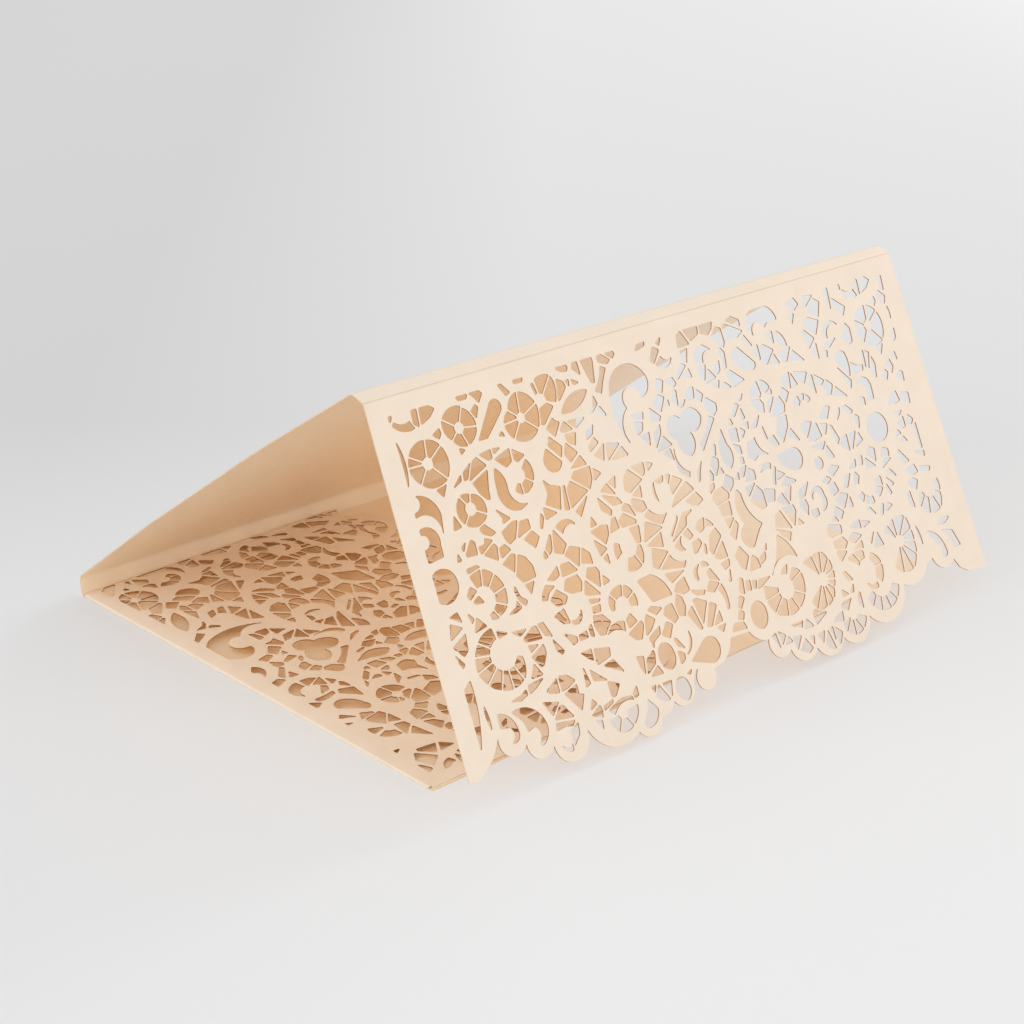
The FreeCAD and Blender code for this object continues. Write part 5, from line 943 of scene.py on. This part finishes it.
def make_pocket(materials):
    """The lace wing that is turned over the base, with its two tabs turned under."""
    def placed(outline):
        """Flap pattern to pocket pattern, a little larger and drawn towards the rear corner."""
        result = []
        for x, y, is_via in outline:
            forward = (x - POCKET_SHIFT) * POCKET_SCALE
            near_spine = max(0, 1 - forward / PULL_ENDS)
            result.append(((y - POCKET_CROP) * POCKET_SCALE - PULL_LEFT * near_spine,
                           forward - PULL_REAR * near_spine, is_via))
        return result

    rear, front = POCKET_SIDES, BASE_DEPTH - POCKET_SIDES
    lobes = [point for point in placed(SCALLOPS)
             if rear + LOBE_IN < point[1] < front - LOBE_IN]
    while lobes[0][2]:
        lobes = lobes[1:]
    while lobes[-1][2]:
        lobes = lobes[:-1]
    # one side, from the crease to the mouth: u, and how far out from the line of its fold
    wing = [(POCKET_LEFT - pi * POCKET_BEND, -CREASE_MITRE), (POCKET_LEFT, 0), (TAB_START, 0),
            (TAB_START, TAB_FOOT), (TAB_START + TAB_WIDTH / 2, TAB_FOOT + TAB_WIDTH),
            (TAB_STOP - TAB_WIDTH / 2, TAB_FOOT + TAB_WIDTH), (TAB_STOP, TAB_FOOT),
            (TAB_STOP, 0), (POCKET_REACH, 0)]
    outline = [(u, rear - out, False) for u, out in wing] + lobes
    outline += [(u, front + out, False) for u, out in reversed(wing)]
    edge = loop_of(outline)
    openings = []
    for opening in map(placed, LACE):
        loop = loop_of(opening)
        for axis, limit, side in ((0, CREASE_BORDER, 1), (1, rear + REAR_BORDER, 1),
                                  (1, front - FRONT_BORDER, -1)):
            loop = kept_beyond(loop, axis, limit, side) if loop else loop
        if loop and all(max(along) - min(along) > LEAST_OPENING for along in zip(*loop)):
            openings.append(loop)
    loops = [divided(edge, GRID)] + widened(openings, edge)
    creases = []
    for step in range(FOLD_STEPS + 1):
        u = POCKET_LEFT - pi * POCKET_BEND * step / FOLD_STEPS
        creases.append(dotted((u, rear + CREASE_IN), (u, front - CREASE_IN)))
        for fold, sign in ((rear, -1), (front, 1)):
            v = fold + sign * TAB_ROLL * step / FOLD_STEPS
            run_in = abs(v - fold) / 2
            creases.append(dotted((TAB_START + TAB_IN + run_in, v),
                                  (TAB_STOP - TAB_IN - run_in, v)))
    inner = [(GRID * column + GRID_START, GRID * row)
             for column in range(1, int(POCKET_REACH / GRID))
             for row in range(1, int(BASE_DEPTH / GRID))]

    def slots_at(u, v):
        return UNDER if TAB_START < u < TAB_STOP and rear < v < front else INSIDE, OUTSIDE

    def is_trimmed(u, v):
        return u < TAB_START

    folded_sheet("pocket", cut_out(loops, creases, inner), place_pocket, slots_at, is_trimmed,
                 materials)


# ---- materials ------------------------------------------------------------------------------

def new_material(name):
    material = bpy.data.materials.new(name)
    material.use_nodes = True
    nodes = material.node_tree.nodes
    return material, nodes, material.node_tree.links, nodes["Principled BSDF"]


def add_math(nodes, links, operation, *given):
    """Math node of sockets and numbers."""
    node = nodes.new("ShaderNodeMath")
    node.operation = operation
    for socket, value in zip(node.inputs, given):
        if isinstance(value, bpy.types.NodeSocket):
            links.new(value, socket)
        else:
            socket.default_value = value
    return node.outputs["Value"]


def add_noise(nodes, links, coordinates, scale, detail):
    noise = nodes.new("ShaderNodeTexNoise")
    noise.inputs["Scale"].default_value = scale
    noise.inputs["Detail"].default_value = detail
    links.new(coordinates.outputs["Object"], noise.inputs["Vector"])
    return noise


def add_ramp(nodes, links, source, stops):
    ramp = nodes.new("ShaderNodeValToRGB")
    elements = ramp.color_ramp.elements
    for number, (position, colour) in enumerate(stops):
        element = elements[number] if number < 2 else elements.new(position)
        element.position = position
        element.color = (*colour, 1)
    links.new(source, ramp.inputs["Fac"])
    return ramp


def pearl_card(name, low, high, roughness, index):
    """Pearl card: a pigment clouded from low to high, under fine mica, over a felt tooth."""
    material, nodes, links, shader = new_material(name)
    coordinates = nodes.new("ShaderNodeTexCoord")
    cloud = add_noise(nodes, links, coordinates, scale=130, detail=8)
    tint = add_ramp(nodes, links, cloud.outputs["Fac"], ((0.35, low), (0.65, high)))
    links.new(tint.outputs["Color"], shader.inputs["Base Color"])
    flakes = add_noise(nodes, links, coordinates, scale=9000, detail=2)
    spread = add_ramp(nodes, links, flakes.outputs["Fac"],
                      ((0.3, (roughness - 0.06,) * 3), (0.7, (roughness + 0.08,) * 3)))
    links.new(spread.outputs["Color"], shader.inputs["Roughness"])
    tooth = add_noise(nodes, links, coordinates, scale=2600, detail=5)
    bump = nodes.new("ShaderNodeBump")
    bump.inputs["Strength"].default_value = 0.12
    bump.inputs["Distance"].default_value = 0.00004
    links.new(tooth.outputs["Fac"], bump.inputs["Height"])
    links.new(bump.outputs["Normal"], shader.inputs["Normal"])
    shader.inputs["IOR"].default_value = index
    return material


# tones of the floor behind the card and in front of it, from the left of the picture to the right:
# painted light falloff, darker towards the back left
FAR_FLOOR_PAINTED_FALLOFF = ((0, 0.68), (0.2, 0.67), (0.5, 0.775), (1, 0.75))
NEAR_FLOOR_PAINTED_FALLOFF = ((0, 0.815), (0.25, 0.845), (0.5, 0.89), (1, 0.89))
FLOOR_BLUE = 1.004        # its blue over its red and green
EVEN_SHARE = 0.35         # how much of its tone is seen without light or shadow


def floor_material():
    """Pale grey studio paper with painted light falloff, darker towards the back left."""
    material, nodes, links, shader = new_material("studio_paper_painted_falloff")
    coordinates = nodes.new("ShaderNodeTexCoord")
    turned = nodes.new("ShaderNodeMapping")
    turned.inputs["Rotation"].default_value = (0, 0, radians(45))
    links.new(coordinates.outputs["Object"], turned.inputs["Vector"])
    axes = nodes.new("ShaderNodeSeparateXYZ")
    links.new(turned.outputs["Vector"], axes.inputs["Vector"])
    shares = []
    for axis, start, stop in (("X", -0.25, 0.25), ("Y", -0.08, 0.12)):
        share = nodes.new("ShaderNodeMapRange")
        share.inputs["From Min"].default_value = start
        share.inputs["From Max"].default_value = stop
        links.new(axes.outputs[axis], share.inputs["Value"])
        shares.append(share.outputs["Result"])
    far, near = (add_ramp(nodes, links, shares[0], [(position, (tone, tone, tone * FLOOR_BLUE))
                                                    for position, tone in tones])
                 for tones in (FAR_FLOOR_PAINTED_FALLOFF, NEAR_FLOOR_PAINTED_FALLOFF))
    mix = nodes.new("ShaderNodeMix")
    mix.data_type = "RGBA"
    links.new(shares[1], mix.inputs["Factor"])
    links.new(near.outputs["Color"], mix.inputs["A"])
    links.new(far.outputs["Color"], mix.inputs["B"])
    links.new(mix.outputs["Result"], shader.inputs["Base Color"])
    shader.inputs["Roughness"].default_value = 0.9

    # seen straight on, mirrored or through something, its shadows stay a little lighter
    even = nodes.new("ShaderNodeEmission")
    links.new(mix.outputs["Result"], even.inputs["Color"])
    path = nodes.new("ShaderNodeLightPath")
    seen = path.outputs["Is Camera Ray"]
    for kind in ("Is Glossy Ray", "Is Transmission Ray"):
        seen = add_math(nodes, links, "MAXIMUM", seen, path.outputs[kind])
    share = add_math(nodes, links, "MULTIPLY", seen, EVEN_SHARE)
    blend = nodes.new("ShaderNodeMixShader")
    links.new(share, blend.inputs["Fac"])
    links.new(shader.outputs["BSDF"], blend.inputs[1])
    links.new(even.outputs["Emission"], blend.inputs[2])
    links.new(blend.outputs["Shader"], nodes["Material Output"].inputs["Surface"])
    return material


# ---- stage ----------------------------------------------------------------------------------

WALL_LIGHT = 1.33               # brightness of the surroundings at the height of the card
WALL_SLOPE = (-0.2, 0, -0.71)   # what it gains towards x, y and z


def make_floor():
    mesh = bpy.data.meshes.new("floor")
    half = 6.0
    mesh.from_pydata([(-half, -half, 0), (half, -half, 0), (half, half, 0), (-half, half, 0)], [],
                     [(0, 1, 2, 3)])
    mesh.materials.append(floor_material())
    floor = bpy.data.objects.new("floor", mesh)
    bpy.context.collection.objects.link(floor)


def add_lamp(name, location, target, size, energy):
    light = bpy.data.lights.new(name, "AREA")
    light.shape = "DISK"
    light.size = size
    light.energy = energy
    lamp = bpy.data.objects.new(name, light)
    lamp.location = location
    lamp.rotation_euler = (Vector(target) - lamp.location).to_track_quat("-Z", "Y").to_euler()
    bpy.context.collection.objects.link(lamp)


def make_light():
    """White walls all round, a little brighter on the left, a dimmer ceiling and one soft lamp."""
    world = bpy.context.scene.world or bpy.data.worlds.new("world")
    bpy.context.scene.world = world
    world.use_nodes = True
    nodes, links = world.node_tree.nodes, world.node_tree.links
    background = nodes["Background"]
    background.inputs["Color"].default_value = (1.0, 1.0, 1.0, 1)
    direction = nodes.new("ShaderNodeTexCoord")
    change = nodes.new("ShaderNodeVectorMath")
    change.operation = "DOT_PRODUCT"
    change.inputs[1].default_value = WALL_SLOPE
    links.new(direction.outputs["Generated"], change.inputs[0])
    strength = add_math(nodes, links, "ADD", change.outputs["Value"], WALL_LIGHT)
    links.new(strength, background.inputs["Strength"])
    add_lamp("right_window", location=(1.7, 0.1, 0.5), target=(0, 0, 0.03), size=1.0, energy=10)
    bpy.context.scene.cycles.diffuse_bounces = 8     # light finds its way round inside the tent


def make_camera():
    """Seen from the front left, a little above, with the picture turned slightly."""
    azimuth, elevation, roll = radians(-45.17), radians(22.68), radians(1.81)
    eye = (-279.7, -433.4, 238.0)       # in card millimetres
    back = Vector((sin(azimuth) * cos(elevation), -cos(azimuth) * cos(elevation), sin(elevation)))
    right = Vector((0, 0, 1)).cross(back).normalized()
    up = back.cross(right)
    turned_right = right * cos(roll) + up * sin(roll)
    turned_up = up * cos(roll) - right * sin(roll)
    data = bpy.data.cameras.new("camera")
    data.lens = 75.8
    camera = bpy.data.objects.new("camera", data)
    bpy.context.collection.objects.link(camera)
    rotation = Matrix((turned_right, turned_up, back)).transposed().to_4x4()
    camera.matrix_world = Matrix.Translation(to_frame(eye)) @ rotation
    bpy.context.scene.camera = camera


bpy.context.scene.view_settings.view_transform = "Standard"
# In the order of the slots. The bare core shows in score lines and trimmed edges. The outside and
# the inside are lit and shaded copies of one card: the inside is painted more saturated, as
# painted warm shade for inside the tent. Under the pocket, the warm light that soaks through the
# sheet and the warm shade there are painted into its underside as a saturated orange.
finishes = [pearl_card("pearl_card", (0.925, 0.78, 0.625), (0.955, 0.81, 0.655), 0.45, 1.5),
            pearl_card("cut_edge", (0.40, 0.16, 0.045), (0.50, 0.22, 0.075), 0.7, 1.45),
            # inside faces: painted warm shade, more saturated and redder than the outside
            pearl_card("card_inside_painted_shade", (0.96, 0.805, 0.605), (0.985, 0.83, 0.63), 0.3, 1.6),
            pearl_card("bare_core", (0.80, 0.64, 0.47), (0.85, 0.69, 0.52), 0.6, 1.45),
            # pocket underside: saturated orange, painted warm shade and through-light under the
            # pocket
            pearl_card("painted_warm_shade_underside", (0.95, 0.73, 0.33), (0.98, 0.76, 0.37), 0.6, 1.4)]
make_card(finishes)
make_pocket(finishes)
make_floor()
make_light()
make_camera()
